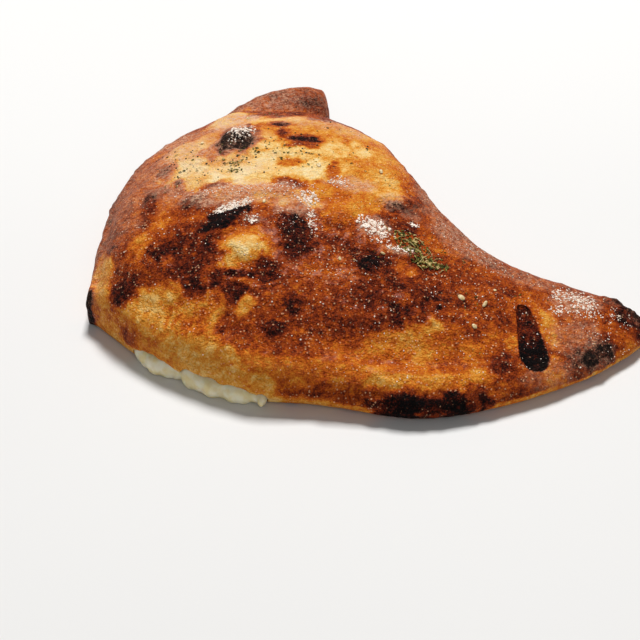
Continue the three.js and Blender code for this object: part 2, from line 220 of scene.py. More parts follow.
def folded_dough():
    """The points and faces of the fold, rib by rib from the left corner to the tail."""
    s = (np.arange(1, RIBS) / RIBS)[:, None]
    front, back = front_line[1:-1, None], back_line[1:-1, None]
    length = np.linalg.norm(back - front, axis=2)
    rim, crest, place = (at_station(values, s) for values in (RIM_HEIGHT, CREST_HEIGHT, CREST_PLACE))
    even = np.linspace(0, 1, TOP_STEPS + 1)[None]
    # half of the steps gather at the edges, where the arch is steepest
    w = 0.5 * even + 0.5 * (0.5 - 0.5 * np.cos(math.pi * even))
    share = np.where(w < place, dome(w / place, FRONT_ROUNDING), dome((1 - w) / (1 - place), BACK_ROUNDING))
    top = front + (back - front) * w[..., None]
    height = rim + (crest - rim) * share + relief(top[..., 0], top[..., 1], s, w * length, (1 - w) * length)
    angle = np.linspace(0, math.pi / 2, CURL_STEPS + 1)[None, 1:]
    inward = np.minimum(EDGE_CURL, LONGEST_CURL * length) / length * (1 - np.cos(angle))
    lower = rim * (1 - np.sin(angle))
    under_back = back + (front - back) * inward[..., None]
    under_front = front + (back - front) * inward[:, ::-1, None]
    plan = np.concatenate([top, under_back, under_front], axis=1)
    heights = np.concatenate([height, lower, lower[:, ::-1]], axis=1)
    rings = np.concatenate([plan, heights[..., None]], axis=2)
    return loft([*front_line[0], RIM_HEIGHT[0]], rings, [*front_line[-1], RIM_HEIGHT[-1]])


fold_points, fold_faces = folded_dough()
print("fold:", len(fold_points), "points, crest", round(float(fold_points[:, 2].max()), 1), "mm high")

# %% [markdown]
# ## The rolled end
#
# At the back the two corners of the dough are rolled into a thick end. It grows out of the rim, swells, and
# stops in a blunt face. A ring of points is carried along its middle line, as a hose is made, and the rings
# grow with the radius that the list gives.

# %% Loft the rolled end
# x, y, z, radius
ROLLED_END = [(-121, 62, 9, 5), (-108, 78, 12, 8), (-93, 91, 14, 11), (-78, 103.5, 16.5, 14),
              (-62, 113.5, 18, 16.5), (-44, 119, 18.5, 17), (-32, 120, 18.5, 15.5)]
ROLL_DOME = 5
ROLL_STEPS = 90
ROLL_SIDES = 72
DOME_STEPS = 8


def rings_around(centres, aheads, half_widths, half_heights, sides):
    """Upright ellipses of points round a middle line that heads along aheads."""
    angle = np.arange(sides) / sides * 2 * math.pi
    right = np.stack([aheads[:, 1], -aheads[:, 0]], axis=1)
    right = right / np.linalg.norm(right, axis=1, keepdims=True)
    rings = np.repeat(np.array(centres, float)[:, None], sides, axis=1)
    rings[..., :2] += right[:, None] * np.reshape(half_widths, (-1, 1, 1)) * np.cos(angle)[None, :, None]
    rings[..., 2] += np.reshape(half_heights, (-1, 1)) * np.sin(angle)[None]
    return rings


def rolled_end():
    """The points and faces of the rolled end, which closes in a low dome."""
    middle = smooth_line([row[:3] for row in ROLLED_END], ROLL_STEPS)
    radii = smooth_line([(x, y, radius) for x, y, z, radius in ROLLED_END], ROLL_STEPS)[:, 2]
    aheads = np.gradient(middle[:, :2], axis=0)
    forward = np.append(aheads[-1] / np.linalg.norm(aheads[-1]), 0)
    domed = np.sin(np.linspace(0, math.pi / 2, DOME_STEPS)[1:-1])
    centres = np.vstack([middle, middle[-1] + ROLL_DOME * domed[:, None] * forward])
    aheads = np.vstack([aheads, np.repeat(aheads[-1:], len(domed), axis=0)])
    radii = np.append(radii, radii[-1] * np.sqrt(1 - domed ** 2))
    rings = rings_around(centres, aheads, radii, radii, ROLL_SIDES)
    rings[..., 2] = np.maximum(rings[..., 2], 0)
    return loft(middle[0], rings, middle[-1] + ROLL_DOME * forward)


roll_points, roll_faces = rolled_end()
print("roll:", len(roll_points), "points")

# %% [markdown]
# ## One skin of dough
#
# The fold and the rolled end run into each other, so they need one skin. A Boolean union would leave a sharp
# crease between them. The voxel remesh melts the two together into even squares of about a millimetre, which
# also gives every part of the skin enough points for small bubbles. A few rounds of smoothing take off its
# steps.

# %% Make pieces and run modifiers
def piece_from(name, points, faces):
    """A piece of the calzone from points in millimetres."""
    mesh = bpy.data.meshes.new(name)
    mesh.from_pydata((np.asarray(points) * MM).tolist(), [], faces)
    piece = bpy.data.objects.new(name, mesh)
    bpy.context.collection.objects.link(piece)
    return piece


def with_modifier(piece, kind, **settings):
    """Runs one modifier on a piece and keeps its result as the piece's mesh."""
    modifier = piece.modifiers.new(kind, kind)
    for name, value in settings.items():
        setattr(modifier, name, value)
    shaped = bpy.data.meshes.new_from_object(piece.evaluated_get(bpy.context.evaluated_depsgraph_get()))
    piece.modifiers.clear()
    piece.data = shaped
    return piece


def joined(parts):
    """The points and faces of several closed skins as one list of each."""
    shift, points, faces = 0, [], []
    for some_points, some_faces in parts:
        points.append(some_points)
        faces += [[corner + shift for corner in face] for face in some_faces]
        shift += len(some_points)
    return np.vstack(points), faces


dough = joined([(fold_points, fold_faces), (roll_points, roll_faces)])
print("fold and roll together:", len(dough[0]), "points,", len(dough[1]), "faces")

# %% Join, remesh and smooth
SKIN_GRID = 1.05
crust = piece_from("crust_skin", *dough)
with_modifier(crust, "REMESH", mode="VOXEL", voxel_size=SKIN_GRID * MM)
with_modifier(crust, "SMOOTH", factor=0.5, iterations=8)
print("skin:", len(crust.data.vertices), "points")

# %% [markdown]
# ## Small bubbles, folds and wrinkles
#
# Up close the crust is never smooth. It carries hundreds of bubbles of a few millimetres, soft folds that
# run with the rim, arcs of fine wrinkles round its swells, and rough lumps where it burnt. A bump map could
# fake these, but the light that rakes over the crust and its outline would give that away, so all that is
# larger than a millimetre or two moves the points. A lattice of seeded random numbers with soft steps
# between them gives the swell, and it is the same in every run.

# %% A random swell and a ragged spot
LATTICE_SIDE = 32
LATTICE = np.random.default_rng(7).uniform(-1, 1, (LATTICE_SIDE, LATTICE_SIDE, LATTICE_SIDE))
LAYER_SHIFT = 7.31
EDGE_WIDTH = 0.4


def cloud(points, size, layer=0):
    """A soft random swell between -1 and 1, whose lumps are about this many millimetres across."""
    scaled = points / size + LAYER_SHIFT * layer
    low = np.floor(scaled).astype(int)
    t = scaled - low
    t = t * t * (3 - 2 * t)
    total = np.zeros(len(points))
    for corner in itertools.product((0, 1), repeat=3):
        weight = np.where(corner, t, 1 - t).prod(axis=1)
        i, j, k = ((low + corner) % LATTICE_SIDE).T
        total += weight * LATTICE[i, j, k]
    return total


def spot(points, ellipse, soft, ragged):
    """1 on an ellipse and 0 off it, with an edge that is this soft and this ragged."""
    # the lumps of the edge are in step with the half width, and carry smaller lumps
    lumps = min(max(0.7 * ellipse[3], 3), 14)
    uneven = cloud(points, lumps, 3) + 0.6 * cloud(points, 0.4 * lumps, 4)
    way = reach(points[:, 0], points[:, 1], ellipse) + ragged * uneven
    return 1 - smoothstep(1 - EDGE_WIDTH * soft, 1 + EDGE_WIDTH * soft, way)


print("lattice of", LATTICE.size, "random numbers")

# %% Bubbles and arcs of wrinkles
BUBBLES = 420
BUBBLE_RADII = (1.6, 4.6)
BUBBLE_RISE = (0.07, 0.2)
# Where the burnt blisters stand: x, y, half length, half width, turn
LUMPY = [
    (-80, 37, 20, 12, 78), (-79, -45, 14, 8, 47), (-45, -46, 10, 7, -65), (-2, -68, 10, 8, 0),
    (20, -130, 42, 8, 2), (113, -96, 15, 6, 40), (132, -60, 14, 9, -30), (-51, -105, 9, 5, -10),
]
# Where the skin is wrinkled in arcs: the middle that the arcs run round, and the ellipse that they cover
WRINKLED = [
    ((-122, -90), (-86, -88, 26, 20, -15)), ((-128, -76), (-108, -56, 16, 18, 10)),
    ((-68, -60), (-62, -84, 22, 9, 0)), ((-20, -40), (-8, -56, 26, 14, -10)),
    ((40, -90), (22, -94, 26, 12, 0)),
]
LONG_WAYS = np.array([0.45, 1, 1])


def small_bubbles(points, normals, seed):
    """How far seeded bubbles lift the upper side of the skin."""
    dice = np.random.default_rng(seed)
    lift = np.zeros(len(points))
    upper = np.flatnonzero((normals[:, 2] > 0.1) & (points[:, 2] > 8))
    for middle in points[dice.choice(upper, BUBBLES)]:
        radius = dice.uniform(*BUBBLE_RADII)
        near = np.flatnonzero(np.abs(points - middle).max(axis=1) < radius)
        distance = np.linalg.norm(points[near] - middle, axis=1) / radius
        lift[near] = np.maximum(lift[near], radius * dice.uniform(*BUBBLE_RISE) * hump(distance))
    return lift


def arcs(points, middle, ellipse):
    """Wrinkles that run round a middle: narrow ridges with wide valleys between them."""
    far = np.hypot(points[:, 0] - middle[0], points[:, 1] - middle[1])
    angle = np.arctan2(points[:, 1] - middle[1], points[:, 0] - middle[0])
    bent = np.stack([far, 9 * angle, 0.4 * points[:, 2]], axis=1)
    ridges = 0.55 - 1.6 * np.abs(cloud(bent, 4.2, 9)) + 0.5 * cloud(points, 3, 10)
    return spot(points, ellipse, 1.2, 0.3) * ridges


print(BUBBLES, "small bubbles,", len(WRINKLED), "wrinkled and", len(LUMPY), "lumpy places")

# %% Read and move the points of a piece
def triples(items, field):
    """Three numbers for each item of a mesh."""
    flat = np.empty(3 * len(items), np.float32)
    items.foreach_get(field, flat)
    return flat.reshape(-1, 3).astype(float)


def points_of(piece):
    """The points of a piece in millimetres."""
    return triples(piece.data.vertices, "co") / MM


def normals_of(piece):
    """Which way the skin faces at each point."""
    return triples(piece.data.vertex_normals, "vector")


def move_points(piece, points):
    """Puts the points of a piece at new places in millimetres."""
    piece.data.vertices.foreach_set("co", (points * MM).astype(np.float32).ravel())
    piece.data.update()


points, normals = points_of(crust), normals_of(crust)
print("facing up:", round(float((normals[:, 2] > 0).mean()), 2), "of the points")

# %% Move the skin in and out
lift = small_bubbles(points, normals, 5)
lift += 0.5 * cloud(points, 15, 1) + 0.3 * cloud(points, 6, 2)
# soft ridges that run towards the tail, and a fine grain
lift += 0.4 * (0.5 - np.abs(cloud(points * LONG_WAYS, 7, 5))) + 0.14 * cloud(points, 2.4, 6)
for middle, ellipse in WRINKLED:
    lift += 0.8 * arcs(points, middle, ellipse)
for ellipse in LUMPY:
    lift += spot(points, ellipse, 0.6, 0.2) * (0.7 * cloud(points, 4, 7) + 0.45 * cloud(points, 2.2, 8))
# the base stays flat
points += normals * (lift * smoothstep(1, 7, points[:, 2]))[:, None]
points[:, 2] = np.maximum(points[:, 2], 0)
move_points(crust, points)
print("relief from", round(float(lift.min()), 2), "to", round(float(lift.max()), 2), "mm")

# %% [markdown]
# ## The steam vent
#
# A slit was cut in the tail before baking, so that steam can leave. In the oven it opened into a leaf shape,
# and its floor burnt. Its lip is crisp, and squares of a millimetre cannot follow it, so a Boolean cuts it:
# a leaf of rings that lies along the skin is taken away from the dough.

# %% Find the skin below a point of the plan
VENT_FROM, VENT_TO = np.array([73.6, -75]), np.array([79.4, -112.5])
RAY_START = 0.2


def skin_finder(piece):
    """A search for where the skin lies above a point of the plan, and which way it faces."""
    tree = BVHTree.FromObject(piece, bpy.context.evaluated_depsgraph_get())

    def find(x, y):
        hit, normal, _, _ = tree.ray_cast(Vector((x * MM, y * MM, RAY_START)), Vector((0, 0, -1)))
        return (None, None) if hit is None else (np.array(hit) / MM, np.array(normal))

    return find


find_skin = skin_finder(crust)
end_heights = [round(float(find_skin(*end)[0][2]), 1) for end in (VENT_FROM, VENT_TO)]
print("the skin is", end_heights, "mm high at the two ends of the vent")

# %% Cut the vent
VENT_HALF_WIDTH = 7.5
VENT_DEPTH = 2.4
VENT_WIDEST = 0.8
VENT_POINT = 0.35
VENT_STEPS, VENT_SIDES = 61, 48
FULL_DEPTH_FROM = 0.6


def vent_half_width(way):
    """The slit opens from a point and closes with a round end."""
    opening = VENT_HALF_WIDTH * (way / VENT_WIDEST) ** VENT_POINT
    closing = np.clip((way - VENT_WIDEST) / (1 - VENT_WIDEST), 0, 1)
    return np.where(way < VENT_WIDEST, opening, VENT_HALF_WIDTH * np.sqrt(1 - closing ** 2))


def vent_cutter(find):
    """A leaf of rings that lies along the skin, and is as deep as its width allows."""
    way = np.linspace(0, 1, VENT_STEPS)
    plan = VENT_FROM + (VENT_TO - VENT_FROM) * way[:, None]
    middle = np.array([find(x, y)[0] for x, y in plan])
    half = vent_half_width(way[1:-1])
    deep = VENT_DEPTH * np.minimum(1, half / (FULL_DEPTH_FROM * VENT_HALF_WIDTH))
    aheads = np.repeat([VENT_TO - VENT_FROM], len(half), axis=0)
    return loft(middle[0], rings_around(middle[1:-1], aheads, half, deep, VENT_SIDES), middle[-1])


def cut_out(piece, cutter):
    """Takes the cutter's shape away from a piece, and removes the cutter."""
    with_modifier(piece, "BOOLEAN", operation="DIFFERENCE", object=cutter, solver="MANIFOLD")
    bpy.data.objects.remove(cutter)


before = len(crust.data.vertices)
cut_out(crust, piece_from("vent_cutter", *vent_cutter(find_skin)))
print("vent cut,", before, "->", len(crust.data.vertices), "points")

# %% [markdown]
# ## Melted cheese
#
# At the front left some of the cheese has run out below the rim and set in a row of soft lumps. Metaballs
# would melt lumps together too, but their size depends on a threshold. Plain ellipsoids of known size,
# remeshed as one and smoothed, stay where they are put. A flat tongue behind them runs in between the two
# layers of dough, which is where the cheese comes from. The dough gets a pocket of the same shape, a little
# larger.

# %% The lumps of cheese
# station along the front edge, (half along, half deep, half high), distance in from the edge
CHEESE_BLOBS = [
    (0.126, (6, 5, 6.5), 4.4), (0.14, (6.5, 6.5, 7.5), 4.4), (0.157, (7.5, 7.5, 7.5), 4),
    (0.175, (6.5, 6, 7), 4), (0.19, (5.5, 5, 6.5), 4.8), (0.205, (5, 4.5, 6), 5.8),
    (0.219, (6.5, 7.5, 8.5), 5.2), (0.236, (7, 7, 7.5), 4.6), (0.254, (7.5, 7.5, 7.5), 4),
    (0.272, (6, 5.5, 7), 4.8), (0.288, (7, 7, 7), 4.8), (0.303, (6, 6.5, 7), 5), (0.32, (4.5, 5, 5), 5.2),
    (0.334, (2.5, 5.5, 4), 3),
]
CHEESE_LIFT = 5.5


def in_from_front(station, inset, height):
    """A point that lies in from the front edge, and the way that the edge heads there."""
    place = station * RIBS
    i = int(place)
    ahead = (front_line[i + 1] - front_line[i]) / np.linalg.norm(front_line[i + 1] - front_line[i])
    x, y = front_line[i] + (front_line[i + 1] - front_line[i]) * (place - i)
    return np.array([x - ahead[1] * inset, y + ahead[0] * inset, height]), ahead


def taken_from(shape):
    """The points and faces of a shape in the making, which is then thrown away."""
    shape.verts.index_update()
    points = np.array([vertex.co[:] for vertex in shape.verts])
    faces = np.array([[vertex.index for vertex in face.verts] for face in shape.faces])
    shape.free()
    return points, faces


def ball(subdivisions):
    """The points and faces of a ball of radius 1."""
    shape = bmesh.new()
    bmesh.ops.create_icosphere(shape, subdivisions=subdivisions, radius=1)
    return taken_from(shape)


def cheese_blob(station, size, inset):
    """One lump, with its length along the edge."""
    centre, ahead = in_from_front(station, inset, CHEESE_LIFT)
    ball_points, faces = ball(4)
    stretched = ball_points * size
    turned = np.stack([stretched[:, 0] * ahead[0] - stretched[:, 1] * ahead[1],
                       stretched[:, 0] * ahead[1] + stretched[:, 1] * ahead[0], stretched[:, 2]], axis=1)
    return turned + centre, faces.tolist()


print(len(CHEESE_BLOBS), "lumps")

# %% The tongue, and both in one skin
ROOT_STATIONS = (0.135, 0.32)
ROOT_INSET, ROOT_HALF_DEPTH, ROOT_HALF_HEIGHT, ROOT_LIFT = 16, 12, 3.5, 6
ROOT_STEPS, ROOT_SIDES = 41, 40
CHEESE_GRID = 0.7


def cheese_root():
    """The flat tongue that joins the lumps and runs in between the layers."""
    share = np.linspace(0, 1, ROOT_STEPS)
    stations = np.interp(share, (0, 1), ROOT_STATIONS)
    placed = [in_from_front(station, ROOT_INSET, ROOT_LIFT) for station in stations]
    centres, aheads = (np.array(column) for column in zip(*placed))
    # it thins a little towards both ends
    swell = np.sqrt(1 - 0.75 * (2 * share - 1) ** 6)
    rings = rings_around(centres, aheads, ROOT_HALF_DEPTH * swell, ROOT_HALF_HEIGHT * swell, ROOT_SIDES)
    start, end = (np.append(ahead, 0) * ROOT_HALF_HEIGHT for ahead in (aheads[0], aheads[-1]))
    return loft(centres[0] - start, rings, centres[-1] + end)


def cheese_shape(name):
    """The lumps and the tongue in one soft skin."""
    parts = [cheese_blob(*blob) for blob in CHEESE_BLOBS]
    piece = piece_from(name, *joined([*parts, cheese_root()]))
    with_modifier(piece, "REMESH", mode="VOXEL", voxel_size=CHEESE_GRID * MM)
    return with_modifier(piece, "SMOOTH", factor=0.5, iterations=6)


print("tongue", 2 * ROOT_HALF_DEPTH, "mm deep and", 2 * ROOT_HALF_HEIGHT, "mm thick")

# %% Make the cheese and its pocket
CHEESE_FLOOR = 0.2
# how far the pocket stands off the smooth cheese: the cheese's own relief, and the gap
CHEESE_RELIEF = 0.45
CHEESE_GAP = 0.35

cheese = cheese_shape("melted_cheese_strip")
points, normals = points_of(cheese), normals_of(cheese)
points += normals * (0.35 * cloud(points, 5, 11) + 0.12 * cloud(points, 2, 12))[:, None]
points[:, 2] = np.maximum(points[:, 2], CHEESE_FLOOR)
move_points(cheese, points)
pocket = cheese_shape("pocket_cutter")
pocket_points, pocket_normals = points_of(pocket), normals_of(pocket)
move_points(pocket, pocket_points + pocket_normals * (CHEESE_GAP + CHEESE_RELIEF))
cut_out(crust, pocket)
print("cheese:", len(points), "points; crust now", len(crust.data.vertices))

# %% [markdown]
# ## What the oven did, place by place
#
# A baked crust has one scale of colour: from cream, where the dough stayed in the shade of a fold, over gold
# and amber to russet, brown and black. So one number for each point of the skin says how far it is baked,
# and it carries a little painted light as well: painted highlight on the ridges of the wrinkles, painted
# shade in their valleys, and a painted shadow along the bottom of the front rim. A second number says how
# much fine flour and cheese dust lies on it, and on the left side and along the back edge the same pinkish
# pale is also a painted sheen. Painting a texture image could do this, but numbers on the points need no
# unwrapping. Each mark is an ellipse with its shade, laid over the ones before it, as a painter would, and a
# random swell makes its edge ragged. Most marks lie level and fade out softly, so a turn and a softness are
# given only where they differ from 0 and 0.9.

# %% The large regions
# The scale of shades: 0 cream, 0.15 straw, 0.3 gold, 0.45 amber, 0.6 russet, 0.72 brown, 0.82 dark, 1 black.
# x, y, half length, half width, shade, turn in degrees, softness
REGIONS = [
    (-120, -10, 18, 56, 0.58), (-32, 52, 44, 20, 0.36, -12, 0.8), (-108, 52, 40, 24, 0.56, 50, 0.8),
    (-66, 104, 52, 24, 0.62, 20, 0.6), (-8, 14, 24, 30, 0.4, -25, 0.6), (-68, 6, 46, 19, 0.15, 5, 0.5),
    (-16, -22, 26, 14, 0.42, 0, 0.7), (-98, -64, 20, 20, 0.77, 0, 0.8), (6, -76, 32, 22, 0.73, -10, 0.7),
    (-30, -78, 24, 13, 0.64, 0, 0.8), (22, -116, 42, 13, 0.48, -3, 0.6), (-14, -102, 18, 7, 0.72, 0, 0.8),
    (52, -100, 20, 13, 0.52, 0, 0.8), (100, -82, 34, 20, 0.59, -8, 0.8), (-98, -98, 30, 10, 0.48, -35, 0.7),
    (-114, -91, 16, 9, 0.36, -38, 0.8), (-86, -116, 30, 6, 0.3, -22, 0.8),
    # this region is also a painted shadow along the bottom of the front rim
    (-38, -123, 38, 5, 0.48, -5, 0.8),
]
print(len(REGIONS), "regions")

# %% [markdown]
# The lighter marks come next: the pale dough in the shade of the folds, the thin skin of the bubbles, and
# the golden strips along the rim.

# %% The light marks
LIGHT_MARKS = [
    (-106, 22, 5, 9, 0.05, 0, 0.8), (-101, 8, 7, 9, 0.08, -30, 0.8), (-90, -7, 9, 5, 0.05, -15, 0.8),
    (-73, -6, 7, 12, 0.04, 8, 0.8), (-62, 11, 6, 8, 0.1), (-52, 19, 7, 5, 0.16), (-36, -2, 5, 6, 0.07),
    (-33, 9, 5, 5, 0.14), (-98, 32, 4, 6, 0.2), (-116, 20, 6, 10, 0.46), (-83, 70, 15, 13, 0.18),
    (-94, 40, 9, 12, 0.24), (-60, 62, 14, 7, 0.24), (-108, 30, 10, 14, 0.26), (-98, -10, 7, 10, 0.24),
    (-63, -14, 9, 7, 0.2), (-54, 31, 8, 6, 0.34), (-40, 20, 10, 6, 0.17), (-60, 27, 7, 6, 0.17),
    (-46, 66, 10, 6, 0.22), (-36, -27, 6, 6, 0.27), (-9, -8, 10, 6, 0.34), (8, -3, 10, 7, 0.3),
    (-22, 28, 8, 10, 0.2, -10), (-9, 30, 5, 9, 0.21, 15), (-60, 38, 4, 6, 0.28, 15),
    (5, -12, 11, 6, 0.28, -5), (-14, -30, 7, 9, 0.34, -15, 0.8), (-36, -22, 8, 5, 0.34),
    (-20, -24, 11, 7, 0.43), (-22, -37, 7, 6, 0.46), (-68, -65, 12, 11, 0.19, 15), (-70, -54, 10, 6, 0.44),
    (-54, -27, 10, 6, 0.24), (-118, -87, 9, 6, 0.22, -20), (-113, -95, 8, 5, 0.3, -30),
    (-144, -58, 6, 18, 0.34, 12), (-136, -80, 10, 5, 0.32, -48, 0.8), (-92, -95, 6, 4, 0.42),
    (-66, -25, 28, 8, 0.45, 6), (-66, -95, 4, 6, 0.42, -30), (-84, -98, 8, 4, 0.46), (-82, -92, 7, 5, 0.52),
    (-108, -107, 14, 2.5, 0.4, -32), (-80, -120, 18, 2, 0.3, -22), (-57, -127, 10, 1.5, 0.34, -8),
    # the mark at -2, -124 is darkened a little for a painted shadow along the bottom of the front rim
    (22, -112, 6, 5, 0.38), (-2, -124, 10, 4, 0.42, -20), (20, -127, 24, 4.5, 0.38, 2, 0.8),
    (26, -98, 6, 3, 0.38, 10), (50, -120, 12, 4, 0.36, 20), (8, -107, 12, 5, 0.42, 10),
    (87, -88, 5, 10, 0.36, 12), (88, -110, 7, 8, 0.43), (34, -46, 9, 6, 0.56), (14, -67, 7, 5, 0.45),
    (-82, 102, 9, 7, 0.38), (-111, -32, 7, 15, 0.53), (-124, -57, 6, 8, 0.46), (-124, 0, 3, 8, 0.52),
    (127, -89, 14, 4, 0.32, 38, 0.8), (-46, 104, 18, 4, 0.56), (-48, 120, 14, 4, 0.45, 5),
]
print(len(LIGHT_MARKS), "light marks")

# %% [markdown]
# Then the brown marks, where a swell came close to the fire, and last the burnt ones. The two most burnt
# blisters stand on the crest and in front of the rolled end. Round each burnt mark the dough is brown for a
# few millimetres.

# %% The brown and the burnt marks
BROWN_MARKS = [
    (-47, -12, 7, 5, 0.72, 25, 0.8), (-48, 10, 6, 6, 0.52), (-91, 20, 6, 6, 0.44), (-30, 68, 10, 6, 0.74),
    (-24, 3, 4, 9, 0.57), (-40, 37, 10, 5, 0.6), (-56, 58, 5, 4, 0.66), (-53, 44, 2.5, 5, 0.76),
    (-117, 8, 3.5, 7, 0.77, 10), (-121, -22, 4, 12, 0.79), (-133, -22, 3, 8, 0.7), (-122, -39, 3, 6, 0.76),
    (-98, -30, 6, 6, 0.78), (-107, -7, 2, 2.5, 0.78), (-115, -12, 2, 3, 0.76), (-134, -54, 3.5, 8, 0.68),
    (-130, -76, 7, 6.5, 0.87, -10, 0.8), (-110, -61, 6, 4, 0.83, 20), (-98, -73, 4, 5, 0.83),
    (-95, -80, 5, 5, 0.83), (-70, -80, 13, 1.8, 0.88, -3, 0.7), (-57, -76, 6.5, 7, 0.87),
    (-72, -89, 6, 4.5, 0.84), (-42, -94, 5.5, 4, 0.86), (-52, -106, 7, 4, 0.87, 5),
    (-72, -107, 9, 3, 0.7, -10), (-15, -58, 7, 6, 0.8), (24, -61, 7, 5, 0.8), (12, -81, 5, 3, 0.84),
    (5, -89, 26, 8, 0.77), (12, -22, 8, 3, 0.85, -10, 0.8), (8, -34, 8, 8, 0.72), (18, -37, 4, 5, 0.82),
    (62, -112, 7, 7, 0.76), (62, -88, 5, 4, 0.74), (50, -64, 5, 5, 0.74), (67, -68, 5, 3, 0.74),
    (36, -115, 7, 6, 0.56), (17, -1, 5, 5, 0.58, -30), (-68, 108, 7, 7, 0.6), (110, -97, 17, 6.5, 0.8, 37),
    (138, -68, 16, 10, 0.87, -20, 0.8), (16, -135, 42, 2.5, 0.82, 2, 0.8), (45, -96, 10, 7, 0.66),
]
BURNT_MARKS = [
    (-79, 36, 18, 9.5, 0.97, 78, 0.5), (-79.5, -45, 13.5, 7.5, 1, 45, 0.5), (-45, -47, 9, 8, 0.9, -60, 0.8),
    (-42, -58, 9, 9, 0.89), (-3, -67, 9, 8, 0.86), (-6, -69, 5, 4, 0.96), (-40, 36, 9, 3.5, 0.93, 0, 0.8),
    (-42, 111, 7, 3, 0.8, 10), (-55, 57, 5, 2.5, 0.9, 0, 0.8), (-54, 82, 20, 2.5, 0.74, 20),
    (111, -96, 13, 3.5, 0.92, 38), (107, -99.5, 6, 3, 1, 37), (148, -69, 11, 8, 0.98, 0, 0.7),
    (133, -61, 13, 6, 0.97, -28, 0.8), (-151, -68, 3.5, 4.5, 0.98, 0, 0.8),
    (13, -135.5, 11, 2.5, 0.98, 0, 0.7), (26, -134.5, 17, 1.6, 0.93, 0, 0.8),
    (38, -132.5, 7, 2.5, 0.97, -8, 0.7), (55, -130, 6, 2, 0.9, -17, 0.8),
]
print(len(BROWN_MARKS), "brown and", len(BURNT_MARKS), "burnt marks")

# %% [markdown]
# Fine flour and cheese dust makes the crust look pinkish and dull. It lies on the left side, along the
# crest, on the rolled end and over the tail, and it whitens the two burnt blisters. On the left side and
# along the back edge the same pinkish pale is also a painted sheen.

# %% The dusty places
# x, y, half length, half width, amount, turn, softness
DUST_AND_SHEEN_PLACES = [
    (-98, 16, 36, 38, 0.42, 0, 0.8), (-136, -8, 12, 44, 0.25), (-108, 30, 14, 14, 0.75),
    (-118, 64, 14, 14, 0.6, 40), (-84, 66, 15, 17, 0.95), (-35, 62, 28, 9, 0.5, -10),
    (-13, 56, 8, 10, 0.55), (-72, -22, 28, 9, 0.65, 8), (-74, -32, 10, 3, 0.8, 24, 0.8),
    (-78, 46, 8, 10, 0.35), (-44, -31, 12, 7, 0.55), (-13, -8, 12, 6, 0.7), (7, -17, 8, 5, 0.5),
    (-65, -44, 4, 3, 0.3), (-3, -40, 8, 8, 0.45), (10, -55, 9, 3, 0.45, 8), (17, -26, 6, 4, 0.25),
    (103, -66, 13, 8, 0.6, 10), (104, -90, 16, 12, 0.28, -20), (48, -34, 24, 12, 0.38, -35),
    (28, 0, 8, 14, 0.36, 25), (76, -52, 16, 7, 0.3, -15), (-64, 110, 24, 12, 0.42, 15),
    (-38, 118, 12, 10, 0.18), (86, -112, 14, 6, 0.2, 25),
]
print(len(DUST_AND_SHEEN_PLACES), "dusty places")

# %% [markdown]
# The thin dough along the back edge stood nearest to the fire, so it is brown and dusty for a finger's
# width, and there the dust is also a painted sheen. Below the widest line of the edge the dough never faced
# the fire, so a golden lip shows there, and the base has only the brown freckles of the oven floor. The
# slit's floor is black at its wide end and dark red at its point.

# %% How a mark is laid, and the dust
# how far from the back edge its dust and painted sheen end, and where they are thickest
BACK_DUST_AND_SHEEN = (15, 3)


def lay_over(field, mask, shade):
    """Brings a field to a new shade where the mask is 1."""
    field += (shade - field) * mask


def as_mark(x, y, half_length, half_width, shade, turn=0, softness=0.9):
    """A row of a list as an ellipse, its shade and its softness."""
    return (x, y, half_length, half_width, turn), shade, softness


def lay_marks(field, points, rows, ragged):
    """Lays all the marks of a list over a field, one after the other."""
    for ellipse, shade, softness in (as_mark(*row) for row in rows):
        lay_over(field, spot(points, ellipse, softness, ragged), shade)


def off_line(points, line):
    """How far points lie from a line of the plan."""
    far = np.full(len(points), np.inf)
    for x, y in line[::3]:
        far = np.minimum(far, np.hypot(points[:, 0] - x, points[:, 1] - y))
    return far


def lying_dust_and_sheen(points, normals):
    """How much dust and painted sheen lie on each point: on the places of the list, and in patches along the
    back edge.
    """
    # along the back edge the dust is also a painted sheen
    near_back = smoothstep(*BACK_DUST_AND_SHEEN, off_line(points, back_line) + 2 * cloud(points, 6, 28))
    dust = near_back * (0.3 + 0.25 * cloud(points, 11, 29))
    lay_marks(dust, points, DUST_AND_SHEEN_PLACES, 0.35)
    return dust * smoothstep(0.0, 0.35, normals[:, 2])


points, normals = points_of(crust), normals_of(crust)
dust = lying_dust_and_sheen(points, normals)
print("dusty:", round(float((dust > 0.2).mean()), 2), "of the points")

# %% The shade of every point
GROUND_SHADE, HALO_SHADE, BACK_SHADE, LIP_SHADE = 0.67, 0.7, 0.71, 0.36
# how far from the back edge its brown strip ends, and where it is full
BACK_STRIP = (13, 2)
# where that strip gives way to the left corner, where the lip is palest, and where the lip burnt as well
LEFT_TURN = (-146, -64, 9, 16, 0)
PALE_LIP = (-86, -114, 40, 10, -25)
BURNT_LIPS = [(-151, -66, 7, 8, 0), (29, -134, 33, 7, 1)]
MOST_BAKED = 1.1


def halo_of(ellipse):
    """A somewhat larger ellipse round a mark."""
    x, y, half_length, half_width, turn = ellipse
    return x, y, 1.3 * half_length + 1.2, 1.3 * half_width + 1.2, turn


def edge_shades(bake, points, normals):
    """Lays the golden lip under the edge and the freckles of the base."""
    freckles = smoothstep(0.15, 0.5, cloud(points, 9, 25)) * 0.3
    pale_lip = spot(points, PALE_LIP, 0.4, 0.1)
    lip = smoothstep(0.3, 0.02, normals[:, 2]) * smoothstep(12, 7, points[:, 2])
    for ellipse in BURNT_LIPS:
        lip *= 1 - spot(points, ellipse, 0.5, 0.15)
    freckles = freckles * smoothstep(-0.5, -0.9, normals[:, 2])
    lay_over(bake, lip, LIP_SHADE - 0.24 * pale_lip + 0.05 * cloud(points, 6, 26) + freckles)


